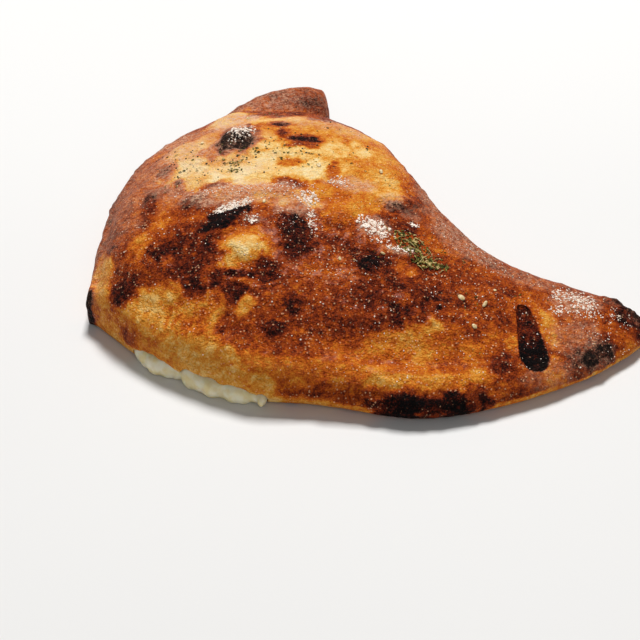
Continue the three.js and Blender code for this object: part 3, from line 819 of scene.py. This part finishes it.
def oven_marks_and_painted_light(points, normals):
    """How far each point is baked, with painted highlight and shade on the wrinkles and a painted shadow
    along the bottom of the front rim.
    """
    bake = GROUND_SHADE + 0.05 * cloud(points, 20, 21) + 0.05 * cloud(points, 8, 22)
    lay_marks(bake, points, REGIONS, 0.3)
    lay_marks(bake, points, LIGHT_MARKS, 0.34)
    bake += 0.05 * cloud(points, 9, 23) + 0.05 * cloud(points, 4, 24)
    back_strip = smoothstep(*BACK_STRIP, off_line(points, back_line) + 3 * cloud(points, 7, 27))
    back_strip *= 1 - spot(points, LEFT_TURN, 0.9, 0.2)
    lay_over(bake, back_strip * (points[:, 2] > 6), BACK_SHADE)
    for ellipse, shade, softness in (as_mark(*row) for row in BROWN_MARKS + BURNT_MARKS):
        halo = 0.4 * spot(points, halo_of(ellipse), 1.0, 0.4)
        lay_over(bake, halo * (bake < HALO_SHADE) * (shade > HALO_SHADE), HALO_SHADE)
        lay_over(bake, spot(points, ellipse, softness, 0.32), shade)
    # the ridges of the wrinkles get a painted highlight, and their valleys a painted shade
    for middle, ellipse in WRINKLED:
        bake -= 0.16 * arcs(points, middle, ellipse) * (bake < 0.8)
    edge_shades(bake, points, normals)
    return bake


bake = oven_marks_and_painted_light(points, normals)
print("bake", round(float(bake.mean()), 2), "on average")

# %% Burn the floor of the slit, and keep both numbers
def vent_floor(points, bake):
    """Burns the floor of the slit."""
    slit = VENT_TO - VENT_FROM
    way = (points[:, :2] - VENT_FROM) @ slit / np.sum(slit ** 2)
    side = (points[:, :2] - VENT_FROM) @ np.array([-slit[1], slit[0]])
    side = np.abs(side) / np.linalg.norm(slit)
    half = vent_half_width(np.clip(way, 0, 1))
    inside = smoothstep(0.3, -0.1, side - half) * (way > -0.01) * (way < 1.01)
    lay_over(bake, inside * (points[:, 2] > 5), 0.82 + 0.22 * smoothstep(0.4, 0.7, way))


def keep_on_points(piece, name, values):
    """Stores one number for each point, under a name that a material can read."""
    piece.data.attributes.new(name, "FLOAT", "POINT").data.foreach_set("value", values.astype(np.float32))


vent_floor(points, bake)
bake = np.clip(bake, 0, MOST_BAKED)
keep_on_points(crust, "bake", bake)
keep_on_points(crust, "dust", dust)
print("black:", round(float((bake > 0.9).mean()), 3), "of the points")

# %% [markdown]
# ## Shader maths that reads as sums
#
# A material is a sheet of nodes. Written node by node, a sum of four noises is a page long. A small class
# can stand for one output of a node, so that Python's own +, - and * add the Math nodes. Every other node
# comes from one method, which sets its options first and then its sockets. Colours are mixed by a Mix node
# instead, because a Math node would turn them grey.

# %% A class for sockets
def both_ways(operation):
    """An operator with the socket on its left, and its reflected form with the socket on its right."""
    def plain(self, other):
        return self.maths(operation, self, other)

    def reflected(self, other):
        return self.maths(operation, other, self)

    return plain, reflected


class Value:
    """One output of a node, so that shader maths reads as plain sums."""

    def __init__(self, finish, socket):
        self.finish = finish
        self.socket = socket

    def maths(self, operation, first, second=0.0, clamp=False):
        """One Math node. Each side is a socket or a number."""
        settings = {"operation": operation, "use_clamp": clamp}
        return self.finish.node("ShaderNodeMath", settings, {0: first, 1: second})

    __add__, __radd__ = both_ways("ADD")
    __sub__, __rsub__ = both_ways("SUBTRACT")
    __mul__, __rmul__ = both_ways("MULTIPLY")

    def clipped(self):
        """Kept between 0 and 1."""
        return self.maths("ADD", self, 0.0, clamp=True)

    def step(self, start, end):
        """0 before start and 1 after end, or the other way round where start is the larger."""
        settings = {"interpolation_type": "SMOOTHSTEP"}
        if start < end:
            ranges = {"From Min": start, "From Max": end, "To Min": 0.0, "To Max": 1.0}
        else:
            ranges = {"From Min": end, "From Max": start, "To Min": 1.0, "To Max": 0.0}
        return self.finish.node("ShaderNodeMapRange", settings, {"Value": self, **ranges})


# %% A class for finishes
class Finish:
    """A material and the ways to add to it."""

    def __init__(self, name):
        self.material = bpy.data.materials.new(name)
        self.material.use_nodes = True
        self.tree = self.material.node_tree
        self.shader = self.tree.nodes["Principled BSDF"]
        self.place = self.node("ShaderNodeTexCoord", output="Object")

    def node(self, kind, settings=None, inputs=None, output=0):
        """Adds a node. Its settings come before its sockets, because some of them change the sockets."""
        made = self.tree.nodes.new(kind)
        for name, value in (settings or {}).items():
            if name == "stops":
                self.set_stops(made.color_ramp, value)
            else:
                setattr(made, name, value)
        self.feed(made, inputs or {})
        return Value(self, made.outputs[output])

    def set_stops(self, ramp, stops):
        while len(ramp.elements) < len(stops):
            ramp.elements.new(0.5)
        for element, (position, colour) in zip(ramp.elements, stops):
            element.position = position
            element.color = colour

    def feed(self, made, inputs):
        """Links sockets, and sets constants directly."""
        for name, value in inputs.items():
            if isinstance(value, Value):
                self.tree.links.new(value.socket, made.inputs[name])
            else:
                made.inputs[name].default_value = value

    def noise(self, size, detail=2.0, roughness=0.5):
        """A random swell from 0 to 1 whose lumps are about this many millimetres across."""
        inputs = {"Vector": self.place, "Scale": 1 / (size * MM), "Detail": detail, "Roughness": roughness}
        return self.node("ShaderNodeTexNoise", None, inputs)

    def cells(self, size, output="Distance"):
        """Scattered points, this far apart in millimetres: how far the nearest is, or its own colour."""
        inputs = {"Vector": self.place, "Scale": 1 / (size * MM), "Randomness": 1.0}
        return self.node("ShaderNodeTexVoronoi", None, inputs, output)

    def on_points(self, name):
        """A number that was kept on the points."""
        return self.node("ShaderNodeAttribute", {"attribute_name": name}, output="Fac")

    def ramp(self, value, stops):
        """A scale of colours, read at a value."""
        return self.node("ShaderNodeValToRGB", {"stops": stops}, {"Fac": value})

    def mix(self, mask, below, above):
        """One colour over another."""
        return self.node("ShaderNodeMix", {"data_type": "RGBA"}, {0: mask, 6: below, 7: above}, output=2)

    def bump(self, height, distance, strength=1.0):
        """A normal that is tilted as if the surface rose by this many millimetres."""
        inputs = {"Height": height, "Distance": distance * MM, "Strength": strength}
        return self.node("ShaderNodeBump", None, inputs)

    def paint(self, piece, **sockets):
        """Feeds the shader, with spaces for underscores in the names of its sockets, and paints a piece."""
        self.feed(self.shader, {name.replace("_", " "): value for name, value in sockets.items()})
        piece.data.materials.clear()
        piece.data.materials.append(self.material)


# %% A colour from its code
def tint(code):
    """A colour from its usual code, in the linear values that shaders want."""
    parts = [int(code[i:i + 2], 16) / 255 for i in (1, 3, 5)]
    return (*[c / 12.92 if c <= 0.04045 else ((c + 0.055) / 1.055) ** 2.4 for c in parts], 1.0)


print("gold is", [round(c, 2) for c in tint("#e9a450")])

# %% [markdown]
# ## The baked crust
#
# The number on the points says how far each place is baked, with the painted light that it carries. Noise at
# three sizes is added to it before the ramp, so that the colour breaks up into blotches, mottles and grains
# as dough does, and never slides along the scale evenly. Dust, with its painted sheen, goes over the colour
# in grains. The skin is oily. Its finest glints are painted highlights: lighter grains in the colour,
# because a strong clear coat would lay broad pale patches on the dark dough, and the coat that is left is
# thin and lies on the lighter places only. A fine bump breaks up its shine. Charred places are dull and
# rough.

# %% The scale of shades
CRUST_SHADES = [
    (0, "#ffe6b0"), (0.15, "#facb78"), (0.3, "#e79a33"), (0.45, "#d16a17"), (0.6, "#a5430f"),
    (0.72, "#782a0c"), (0.82, "#4b1509"), (0.9, "#2c0e09"), (0.98, "#0d0909"),
]


def tinted(stops):
    """The stops of a ramp, with their colours taken from their codes."""
    return [(position, tint(code)) for position, code in stops]


print(len(CRUST_SHADES), "shades from cream to black")

# %% Paint the crust
def baked_crust():
    """The colours of the oven with some painted light, dust with a painted sheen, painted highlights of oil
    and a fine bump.
    """
    finish = Finish("baked_crust")
    bake = finish.on_points("bake")
    dust = finish.on_points("dust")
    blotches = finish.noise(10, 3) - 0.5
    mottles = finish.noise(3, 4, 0.6) - 0.5
    grains = finish.noise(0.9, 3, 0.6) - 0.5
    # dust and the painted sheen hide the finer unevenness, and pale dough has less of it
    fine = (0.68 * mottles + 0.64 * grains) * (1.0 - 0.4 * dust) * (0.5 + 0.65 * bake).clipped()
    unevenness = 0.3 * blotches + fine
    shade = bake - 0.025 + unevenness
    colour = finish.ramp(shade.clipped(), tinted(CRUST_SHADES))
    charred = shade.step(0.78, 0.95)

    # pinkish pale grains: dust, and on the left side and along the back edge also a painted sheen
    powder_and_sheen = dust * (0.3 + 1.2 * finish.noise(2.2, 4, 0.7).step(0.4, 0.62))
    powdered_and_sheened = finish.mix((0.75 * powder_and_sheen * (1.0 - 0.9 * charred)).clipped(), colour, tint("#e6b898"))
    # a painted highlight of oil sits in the middle of some cells, and only where the skin is oily
    blisters = finish.cells(1.7)
    glint_cells = finish.cells(1.7, output="Color").step(0.38, 0.7)
    painted_glints = blisters.step(0.36, 0.16) * glint_cells * finish.noise(5, 2).step(0.34, 0.6)
    glinted_colour = finish.mix(0.68 * painted_glints * (1.0 - charred), powdered_and_sheened, tint("#ffc999"))

    roughness = (0.5 + 0.25 * charred + 0.2 * dust + 0.3 * mottles).clipped()
    oil = (0.06 * finish.noise(4, 3).step(0.4, 0.6) - 0.04 * dust - 0.06 * shade.step(0.6, 0.8)).clipped()
    wrinkles = finish.noise(3.2, 4, 0.65)
    relief_height = 0.55 * wrinkles + 0.15 * (1.0 - blisters) + 0.4 * finish.noise(0.9, 2, 0.6)
    normal = finish.bump(relief_height, 3.2, 1.0)
    finish.paint(crust, Base_Color=glinted_colour, Roughness=roughness, Normal=normal, Coat_Weight=oil,
                 Coat_Roughness=0.25, IOR=1.45, Specular_IOR_Level=0.08, Subsurface_Weight=0.04,
                 Subsurface_Radius=(1.0, 0.5, 0.25), Subsurface_Scale=0.002)
    return finish.material


def shade_smooth(piece):
    """Lets the light run over a piece as if it had no faces."""
    piece.data.polygons.foreach_set("use_smooth", np.ones(len(piece.data.polygons), bool))


crust_material = baked_crust()
shade_smooth(crust)
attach(crust, "root")
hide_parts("crust")
print("crust material has", len(crust_material.node_tree.nodes), "nodes")

# %% [markdown]
# ## The melted cheese's finish
#
# Mozzarella that has melted and set is ivory, a little translucent and softly shiny. A slight subsurface
# glow keeps its shadows warm, and pale yellow oil lies on it in patches.

# %% Paint the cheese
def melted_cheese():
    """Ivory curds with pale yellow oil between them."""
    finish = Finish("melted_cheese_finish")
    oily = finish.noise(5, 3).step(0.35, 0.7)
    curds = finish.noise(1.6, 2)
    colour = finish.mix(oily, tint("#f4ecd0"), tint("#e6d49a"))
    normal = finish.bump(curds + 0.5 * finish.noise(0.6, 1), 0.35, 0.6)
    finish.paint(cheese, Base_Color=colour, Roughness=0.3 + 0.2 * curds, Normal=normal, IOR=1.45,
                 Subsurface_Weight=0.35, Subsurface_Radius=(1.0, 0.7, 0.4), Subsurface_Scale=0.004)


melted_cheese()
shade_smooth(cheese)
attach(cheese, "root")
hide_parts("melted_cheese")
print("cheese strip:", len(cheese.data.polygons), "faces")

# %% [markdown]
# ## Grated cheese
#
# Hard cheese was grated over the dough when it came out of the oven. It lies in a few pinches of crumbs,
# with dust all over the front, and the white specks of that dust also stand for painted glints of oil.
# Particles could scatter it, but each crumb is a little faceted stone of real size here, all of them in one
# mesh, so that the piece can be kept and reused. A ray down to the crust finds the place and the slope for
# each, and the crumb is sunk in a little.

# %% How small bodies are scattered over the crust
find_crust = skin_finder(crust)


def turned_to(normal, turn):
    """A turn by an angle about the slope of the crust."""
    lean = Vector((0, 0, 1)).rotation_difference(Vector(normal)).to_matrix()
    return np.array(lean @ Matrix.Rotation(turn, 3, "Z"))


def spread(name, body, places, dice, lift, jitter):
    """One mesh of uneven copies of a body. Each place is x, y and the three half sizes in millimetres."""
    body_points, body_faces = body
    all_points, all_faces = [], []
    for x, y, *size in places:
        hit, normal = find_crust(x, y)
        if hit is None:
            continue
        own = body_points * (1 + jitter * dice.uniform(-1, 1, body_points.shape)) * size
        own = own @ turned_to(normal, dice.uniform(0, 2 * math.pi)).T + hit + normal * size[2] * lift
        all_faces.append(body_faces + len(all_points) * len(body_points))
        all_points.append(own)
    return piece_from(name, np.vstack(all_points), np.vstack(all_faces).tolist())


print("the skin is", round(float(find_crust(-40, -20)[0][2]), 1), "mm high in the middle of the fold")

# %% Scatter the grated cheese
def pinch(dice, x, y, half_length, half_width, turn, count, smallest, largest):
    """Places of crumbs that gather towards the middle of a turned ellipse."""
    way = dice.uniform(0, 1, count) ** 0.75
    angle = dice.uniform(0, 2 * math.pi, count)
    along, across = way * half_length * np.cos(angle), way * half_width * np.sin(angle)
    c, s = math.cos(math.radians(turn)), math.sin(math.radians(turn))
    size = smallest + (largest - smallest) * dice.uniform(0, 1, count) ** 2
    columns = [x + along * c - across * s, y + along * s + across * c,
               size, size * dice.uniform(0.6, 1, count), size * dice.uniform(0.45, 0.8, count)]
    return np.stack(columns, axis=1)


# x, y, half length, half width, turn, count, smallest and largest half size
CHEESE_PINCHES = [
    (-37, -25, 6, 6, 0, 110, 0.3, 1), (-35, -40, 14, 2.5, -82, 90, 0.25, 0.8),
    (-66, -45, 4, 3, 0, 40, 0.3, 0.9), (-3, -40, 9, 7, -20, 220, 0.3, 1.1),
    (2, -48, 8, 5, 0, 80, 0.25, 0.8), (19, -34, 4, 2.5, 0, 34, 0.3, 0.9), (12, -54, 9, 2, 8, 80, 0.3, 0.9),
    (-20, -8, 8, 5, 10, 60, 0.25, 0.8), (-76, -35, 12, 3, 28, 230, 0.3, 0.9),
    (-60, -22, 30, 7, 6, 130, 0.2, 0.55), (-76, 45, 12, 8, 80, 190, 0.25, 1),
    (-78, 32, 8, 4, 40, 30, 0.25, 0.7), (103, -63, 13, 8, 0, 190, 0.3, 0.9),
    (109, -72, 9, 5, 0, 70, 0.25, 0.8), (94, -75, 7, 4, 0, 50, 0.25, 0.8),
    (126, -71, 9, 6, 0, 40, 0.25, 0.7), (-47, -44, 12, 8, -65, 24, 0.2, 0.5),
    (-52, -16, 18, 6, 10, 80, 0.2, 0.6), (-90, -22, 20, 7, 0, 60, 0.2, 0.5),
    (50, -40, 26, 12, -35, 70, 0.2, 0.5), (112, -84, 22, 8, -20, 60, 0.2, 0.5),
]
# fine dust of grated cheese, whose white specks also stand for painted glints of oil on the front
FINE_DUST_AND_GLINTS = [
    (-20, -75, 120, 55, -3, 380, 0.15, 0.5), (50, -80, 90, 45, -3, 220, 0.15, 0.45),
    (-70, -40, 70, 50, 0, 200, 0.15, 0.45),
]
dice = np.random.default_rng(17)
crumb_places = np.vstack([pinch(dice, *row) for row in CHEESE_PINCHES + FINE_DUST_AND_GLINTS])
crumb = ball(1)
crumbs = spread("grated_cheese", crumb, crumb_places, dice, 0.35, 0.22)
print("grated cheese:", len(crumbs.data.vertices) // len(crumb[0]), "crumbs,",
      len(crumbs.data.polygons), "triangles")

# %% [markdown]
# Grated cheese is off-white and dull. The crumbs, the specks, the seeds and the stalks could each have nodes
# of their own, but all four need the same: two tints that run into each other, and a fine uneven surface. So
# one function paints them all.

# %% Paint the grated cheese
def two_tints(piece, name, size, meeting, tints, bumps, roughness):
    """Paints a piece in two tints that meet between two values of a noise of this size.

    bumps are their size, height and strength, and roughness is its least and how much the noise adds."""
    finish = Finish(name)
    tone = finish.noise(size, 2)
    colour = finish.mix(tone.step(*meeting), tint(tints[0]), tint(tints[1]))
    normal = finish.bump(finish.noise(bumps[0], 1), *bumps[1:])
    finish.paint(piece, Base_Color=colour, Roughness=roughness[0] + roughness[1] * tone, Normal=normal)


CRUMB_TINTS = ("#fff2e4", "#efd6bf")
two_tints(crumbs, "grated_cheese_finish", 2.5, (0.35, 0.7), CRUMB_TINTS,
          bumps=(0.3, 0.1, 0.5), roughness=(0.5, 0.2))
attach(crumbs, "root")
print("crumbs from", CRUMB_TINTS[0], "to", CRUMB_TINTS[1])

# %% [markdown]
# ## Dried herbs
#
# Oregano and parsley were thrown on with the cheese. A dried leaf is a thin scrap that has curled as it
# dried. A plane would vanish when it is seen from its edge, so each scrap is a small shell with a curl and a
# real thickness.

# %% Cut a leaf scrap
LEAF_OUTLINE = [(-1, 0), (-0.6, 0.55), (0.1, 0.75), (0.7, 0.45),
                (1, 0), (0.6, -0.5), (-0.1, -0.7), (-0.7, -0.4)]
HALF_THICK = 0.1


def leaf_scrap():
    """The points and faces of a pointed scrap of half length 1, curled across its middle."""
    shape = bmesh.new()
    rows = []
    for side in (HALF_THICK, -HALF_THICK):
        rows.append([shape.verts.new((x, y, 0.5 * y * y - 0.25 * x * x + side)) for x, y in LEAF_OUTLINE])
        rows.append(shape.verts.new((0, 0, side)))
    upper, upper_middle, lower, lower_middle = rows
    for i in range(len(upper)):
        j = (i + 1) % len(upper)
        shape.faces.new((upper[j], upper[i], upper_middle))
        shape.faces.new((lower[i], lower[j], lower_middle))
        shape.faces.new((upper[i], upper[j], lower[j]))
        shape.faces.new((upper[i], lower[j], lower[i]))
    bmesh.ops.recalc_face_normals(shape, faces=shape.faces)
    return taken_from(shape)


scrap = leaf_scrap()
print("leaf scrap:", len(scrap[1]), "triangles")

# %% Scatter the leaf scraps
def scraps(dice, x, y, half_length, half_width, turn, count, smallest, largest):
    """Places of scraps, each about half as wide as it is long."""
    rows = pinch(dice, x, y, half_length, half_width, turn, count, smallest, largest)
    rows[:, 3] = rows[:, 2] * dice.uniform(0.35, 0.7, count)
    rows[:, 4] = rows[:, 2] * dice.uniform(0.3, 0.6, count)
    return rows


# x, y, half length, half width, turn, count, smallest and largest half length
HERB_PINCHES = [
    (24, -60, 7, 4, 0, 56, 0.9, 2.1), (33, -61, 5, 2.5, 0, 24, 0.8, 1.8),
    (17, -49, 11, 8, -40, 110, 0.6, 1.8), (28, -52, 8, 6, 0, 26, 0.35, 1), (-80, 9, 7, 3, 10, 26, 0.4, 1.4),
    (-79, 0, 6, 2.5, 0, 22, 0.4, 1.3), (-68, 20, 24, 12, 0, 30, 0.5, 1.3),
    (-45, 20, 34, 26, 0, 30, 0.45, 1.1), (-105, 5, 18, 24, 0, 28, 0.5, 1.2),
    (10, 10, 26, 20, -30, 12, 0.35, 0.9), (-66, 78, 12, 6, 0, 16, 0.4, 1.2),
    (48, -80, 14, 8, 0, 8, 0.4, 0.9), (40, -50, 16, 10, -30, 14, 0.3, 0.9),
    (0, -60, 20, 12, 0, 12, 0.3, 0.8), (90, -70, 20, 10, 0, 8, 0.4, 0.9), (52, -110, 12, 6, 0, 4, 0.4, 1),
]
dice = np.random.default_rng(29)
herb_places = np.vstack([scraps(dice, *row) for row in HERB_PINCHES])
herbs = spread("dried_herbs", scrap, herb_places, dice, 0.7, 0.15)
print("herbs:", len(herb_places), "scraps,", len(herbs.data.polygons), "triangles")

# %% Paint the leaf scraps
LEAF_TINTS = [(0.34, "#1e1e0a"), (0.47, "#4a4a19"), (0.56, "#857836"), (0.65, "#d2b67c")]


def dried_herb():
    """Olive brown to straw, and dull."""
    finish = Finish("dried_herb_finish")
    tone = finish.noise(1.8, 2)
    colour = finish.ramp(tone, tinted(LEAF_TINTS))
    normal = finish.bump(finish.noise(0.4, 2), 0.12, 0.7)
    finish.paint(herbs, Base_Color=colour, Roughness=0.6 + 0.2 * tone, Normal=normal, Specular_IOR_Level=0.1)


dried_herb()
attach(herbs, "root")
print(len(LEAF_TINTS), "leaf tints")

# %% [markdown]
# ## Burnt specks and pale seeds
#
# Tiny black specks of burnt flour and herb lie thickest on the pale dough behind the crest, and a few pale
# seeds and scraps catch the eye because they are light.

# %% Burnt specks
# x, y, half length, half width, turn, count, smallest and largest half size
SPECK_PINCHES = [
    (-75, 12, 42, 22, 5, 60, 0.3, 0.85), (-40, 40, 46, 34, -10, 44, 0.3, 0.85),
    (-112, 20, 18, 40, 20, 30, 0.3, 0.8), (30, -40, 50, 30, -30, 30, 0.2, 0.5),
    (-60, 100, 34, 14, 20, 22, 0.22, 0.7),
]
dice = np.random.default_rng(41)
speck_places = np.vstack([pinch(dice, *row) for row in SPECK_PINCHES])
specks = spread("burnt_specks", ball(1), speck_places, dice, 0.2, 0.25)
two_tints(specks, "burnt_speck_finish", 1.5, (0.35, 0.65), ("#140f0b", "#2c2a12"),
          bumps=(0.3, 0.1, 0.6), roughness=(0.6, 0.3))
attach(specks, "root")
print("burnt specks:", len(speck_places))

# %% [markdown]
# The seeds are smooth and a little pointed, so they come from a finer ball than the crumbs.

# %% Pale seeds
# x, y and the three half sizes
SEEDS = [
    (2, 8, 2.4, 1.1, 0.7), (42, -79, 2.1, 1.6, 0.5), (54, -81, 2.2, 1, 0.5), (2, -60, 1.4, 0.8, 0.5),
    (-32, 7, 2, 1.3, 0.5), (48, -95, 1.6, 1.2, 0.5), (60, -70, 1.3, 0.9, 0.4), (-74, 70, 1.8, 1.2, 0.5),
    (-98, 36, 1.6, 1, 0.5), (-20, -66, 1.4, 0.8, 0.4), (-60, -30, 1.5, 0.9, 0.4),
]
dice = np.random.default_rng(53)
seeds = spread("pale_seeds", ball(2), SEEDS, dice, 0.5, 0.06)
two_tints(seeds, "pale_seed_finish", 1.2, (0.3, 0.7), ("#f3ddb0", "#b99a5e"),
          bumps=(0.35, 0.08, 0.5), roughness=(0.45, 0.2))
shade_smooth(seeds)
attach(seeds, "root")
print("seeds:", len(SEEDS))

# %% [markdown]
# ## Herb stalks
#
# A few stalks lie among the leaves: thin bent rods, pale yellow-green. A curve with a round bevel would give
# a rod of even thickness. Here six-sided rings follow the crust, as in the rolled end, and thin out at both
# ends.

# %% Bend the stalks
# points of the plan that each stalk passes over, and its radius
STALKS = [
    ([(14, -46), (18, -50), (22, -54)], 0.22), ([(20, -63), (23, -58), (26, -54)], 0.25),
    ([(25, -62), (30, -63)], 0.2), ([(28, -58), (32, -55)], 0.2), ([(-84, 9), (-80, 10), (-75, 8)], 0.22),
    ([(10, -47), (14, -45)], 0.2), ([(-82, -1), (-77, 1)], 0.2), ([(9, -41), (12, -44)], 0.24),
    ([(13, -54), (18, -52), (23, -53)], 0.22), ([(20, -63), (23, -66)], 0.25),
    ([(31, -66), (34, -63)], 0.22), ([(20, -44), (24, -48)], 0.25), ([(26, -50), (28, -55)], 0.2),
    ([(3, -38), (6, -44)], 0.2),
]
STALK_STEPS, STALK_SIDES = 10, 6
STALK_BOW = 0.7
TAPER_FROM = 0.15
TIP = 0.3


def stalk_line(plan, radius):
    """A stalk's points in millimetres: it lies on the crust and bows up between its ends."""
    line = smooth_line(plan, STALK_STEPS)
    bow = np.sin(np.linspace(0, math.pi, len(line))) * STALK_BOW + 0.5 * radius
    return np.array([find_crust(x, y)[0] + [0, 0, rise] for (x, y), rise in zip(line, bow)])


def rod(line, radius):
    """A thin rod along a line, tapered at both ends."""
    taper = radius * np.sqrt(np.sin(np.linspace(TAPER_FROM, math.pi - TAPER_FROM, len(line))))
    rings = rings_around(line, np.gradient(line[:, :2], axis=0), taper, taper, STALK_SIDES)
    return loft(line[0] - (line[1] - line[0]) * TIP, rings, line[-1] + (line[-1] - line[-2]) * TIP)


rods = [rod(stalk_line(plan, radius), radius) for plan, radius in STALKS]
stalks = piece_from("herb_stalks", *joined(rods))
two_tints(stalks, "dry_stalk_finish", 2, (0.3, 0.7), ("#cdb578", "#8d8440"),
          bumps=(0.3, 0.08, 0.5), roughness=(0.55, 0.2))
shade_smooth(stalks)
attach(stalks, "root")
print("stalks:", len(STALKS))

# %% [markdown]
# ## Floor and light
#
# The calzone lies on a pale floor that is as plain as paper. One soft light stands high above and behind it,
# so that the pale dough behind the crest is brightest and the front slope is modelled, and a weaker one
# fills the front. Both could stand close, but then the floor would darken with distance, so they stand about
# three metres away.

# %% Lay the floor
FLOOR_REACH = 9000
floor_corners = [(x * FLOOR_REACH, y * FLOOR_REACH, 0) for x, y in ((-1, -1), (1, -1), (1, 1), (-1, 1))]
floor = piece_from("floor", floor_corners, [(0, 1, 2, 3)])
floor_finish = Finish("pale_paper")
paper = floor_finish.mix(floor_finish.noise(400, 1).step(0.2, 0.8), tint("#e4e3e1"), tint("#e7e6e4"))
floor_finish.paint(floor, Base_Color=paper, Roughness=0.9)
print("floor of", 2 * FLOOR_REACH * MM, "m")

# %% Set the lights
ROOM_LIGHT = 0.13


def soft_light(name, place, target, size, watts):
    """A square soft light that faces a point. Places are in metres."""
    data = bpy.data.lights.new(name, "AREA")
    data.size = size
    data.energy = watts
    light = bpy.data.objects.new(name, data)
    light.location = place
    light.rotation_euler = (Vector(target) - Vector(place)).to_track_quat("-Z", "Y").to_euler()
    bpy.context.collection.objects.link(light)


soft_light("window", (0.0, 1.4, 2.9), (0, -0.02, 0.02), 0.84, 116)
soft_light("front_fill", (0.3, -2.8, 2.5), (0, 0, 0.02), 2.2, 17)
room = bpy.data.worlds.new("room")
room.use_nodes = True
background = room.node_tree.nodes["Background"]
background.inputs["Color"].default_value = (1, 1, 1, 1)
background.inputs["Strength"].default_value = ROOM_LIGHT
bpy.context.scene.world = room
bpy.context.scene.view_settings.view_transform = "Standard"

# %% [markdown]
# ## The camera
#
# The camera looks down at forty degrees with a long lens, and rolls by a little more than a degree. A Track
# To constraint could aim it, but it can't roll it. So its three axes are worked out, and one matrix sets its
# place and its turn.

# %% Set up the camera
LOOK_AT = Vector((-29.3, -58.0, 0)) * MM
DISTANCE = 740.9 * MM
ELEVATION = math.radians(39.83)
ROLL = math.radians(1.39)
LENS = 77.97
SENSOR = 36

backward = Vector((0, -math.cos(ELEVATION), math.sin(ELEVATION)))
level = Vector((1, 0, 0))
upward = backward.cross(level)
right = level * math.cos(ROLL) + upward * math.sin(ROLL)
up = upward * math.cos(ROLL) - level * math.sin(ROLL)
camera_data = bpy.data.cameras.new("camera")
camera_data.lens = LENS
camera_data.sensor_width = SENSOR
camera_data.sensor_fit = "HORIZONTAL"
camera = bpy.data.objects.new("camera", camera_data)
turn = Matrix((right, up, backward)).transposed().to_4x4()
camera.matrix_world = Matrix.Translation(LOOK_AT + backward * DISTANCE) @ turn
bpy.context.collection.objects.link(camera)
bpy.context.scene.camera = camera
print("camera at", [round(v, 3) for v in camera.matrix_world.translation])
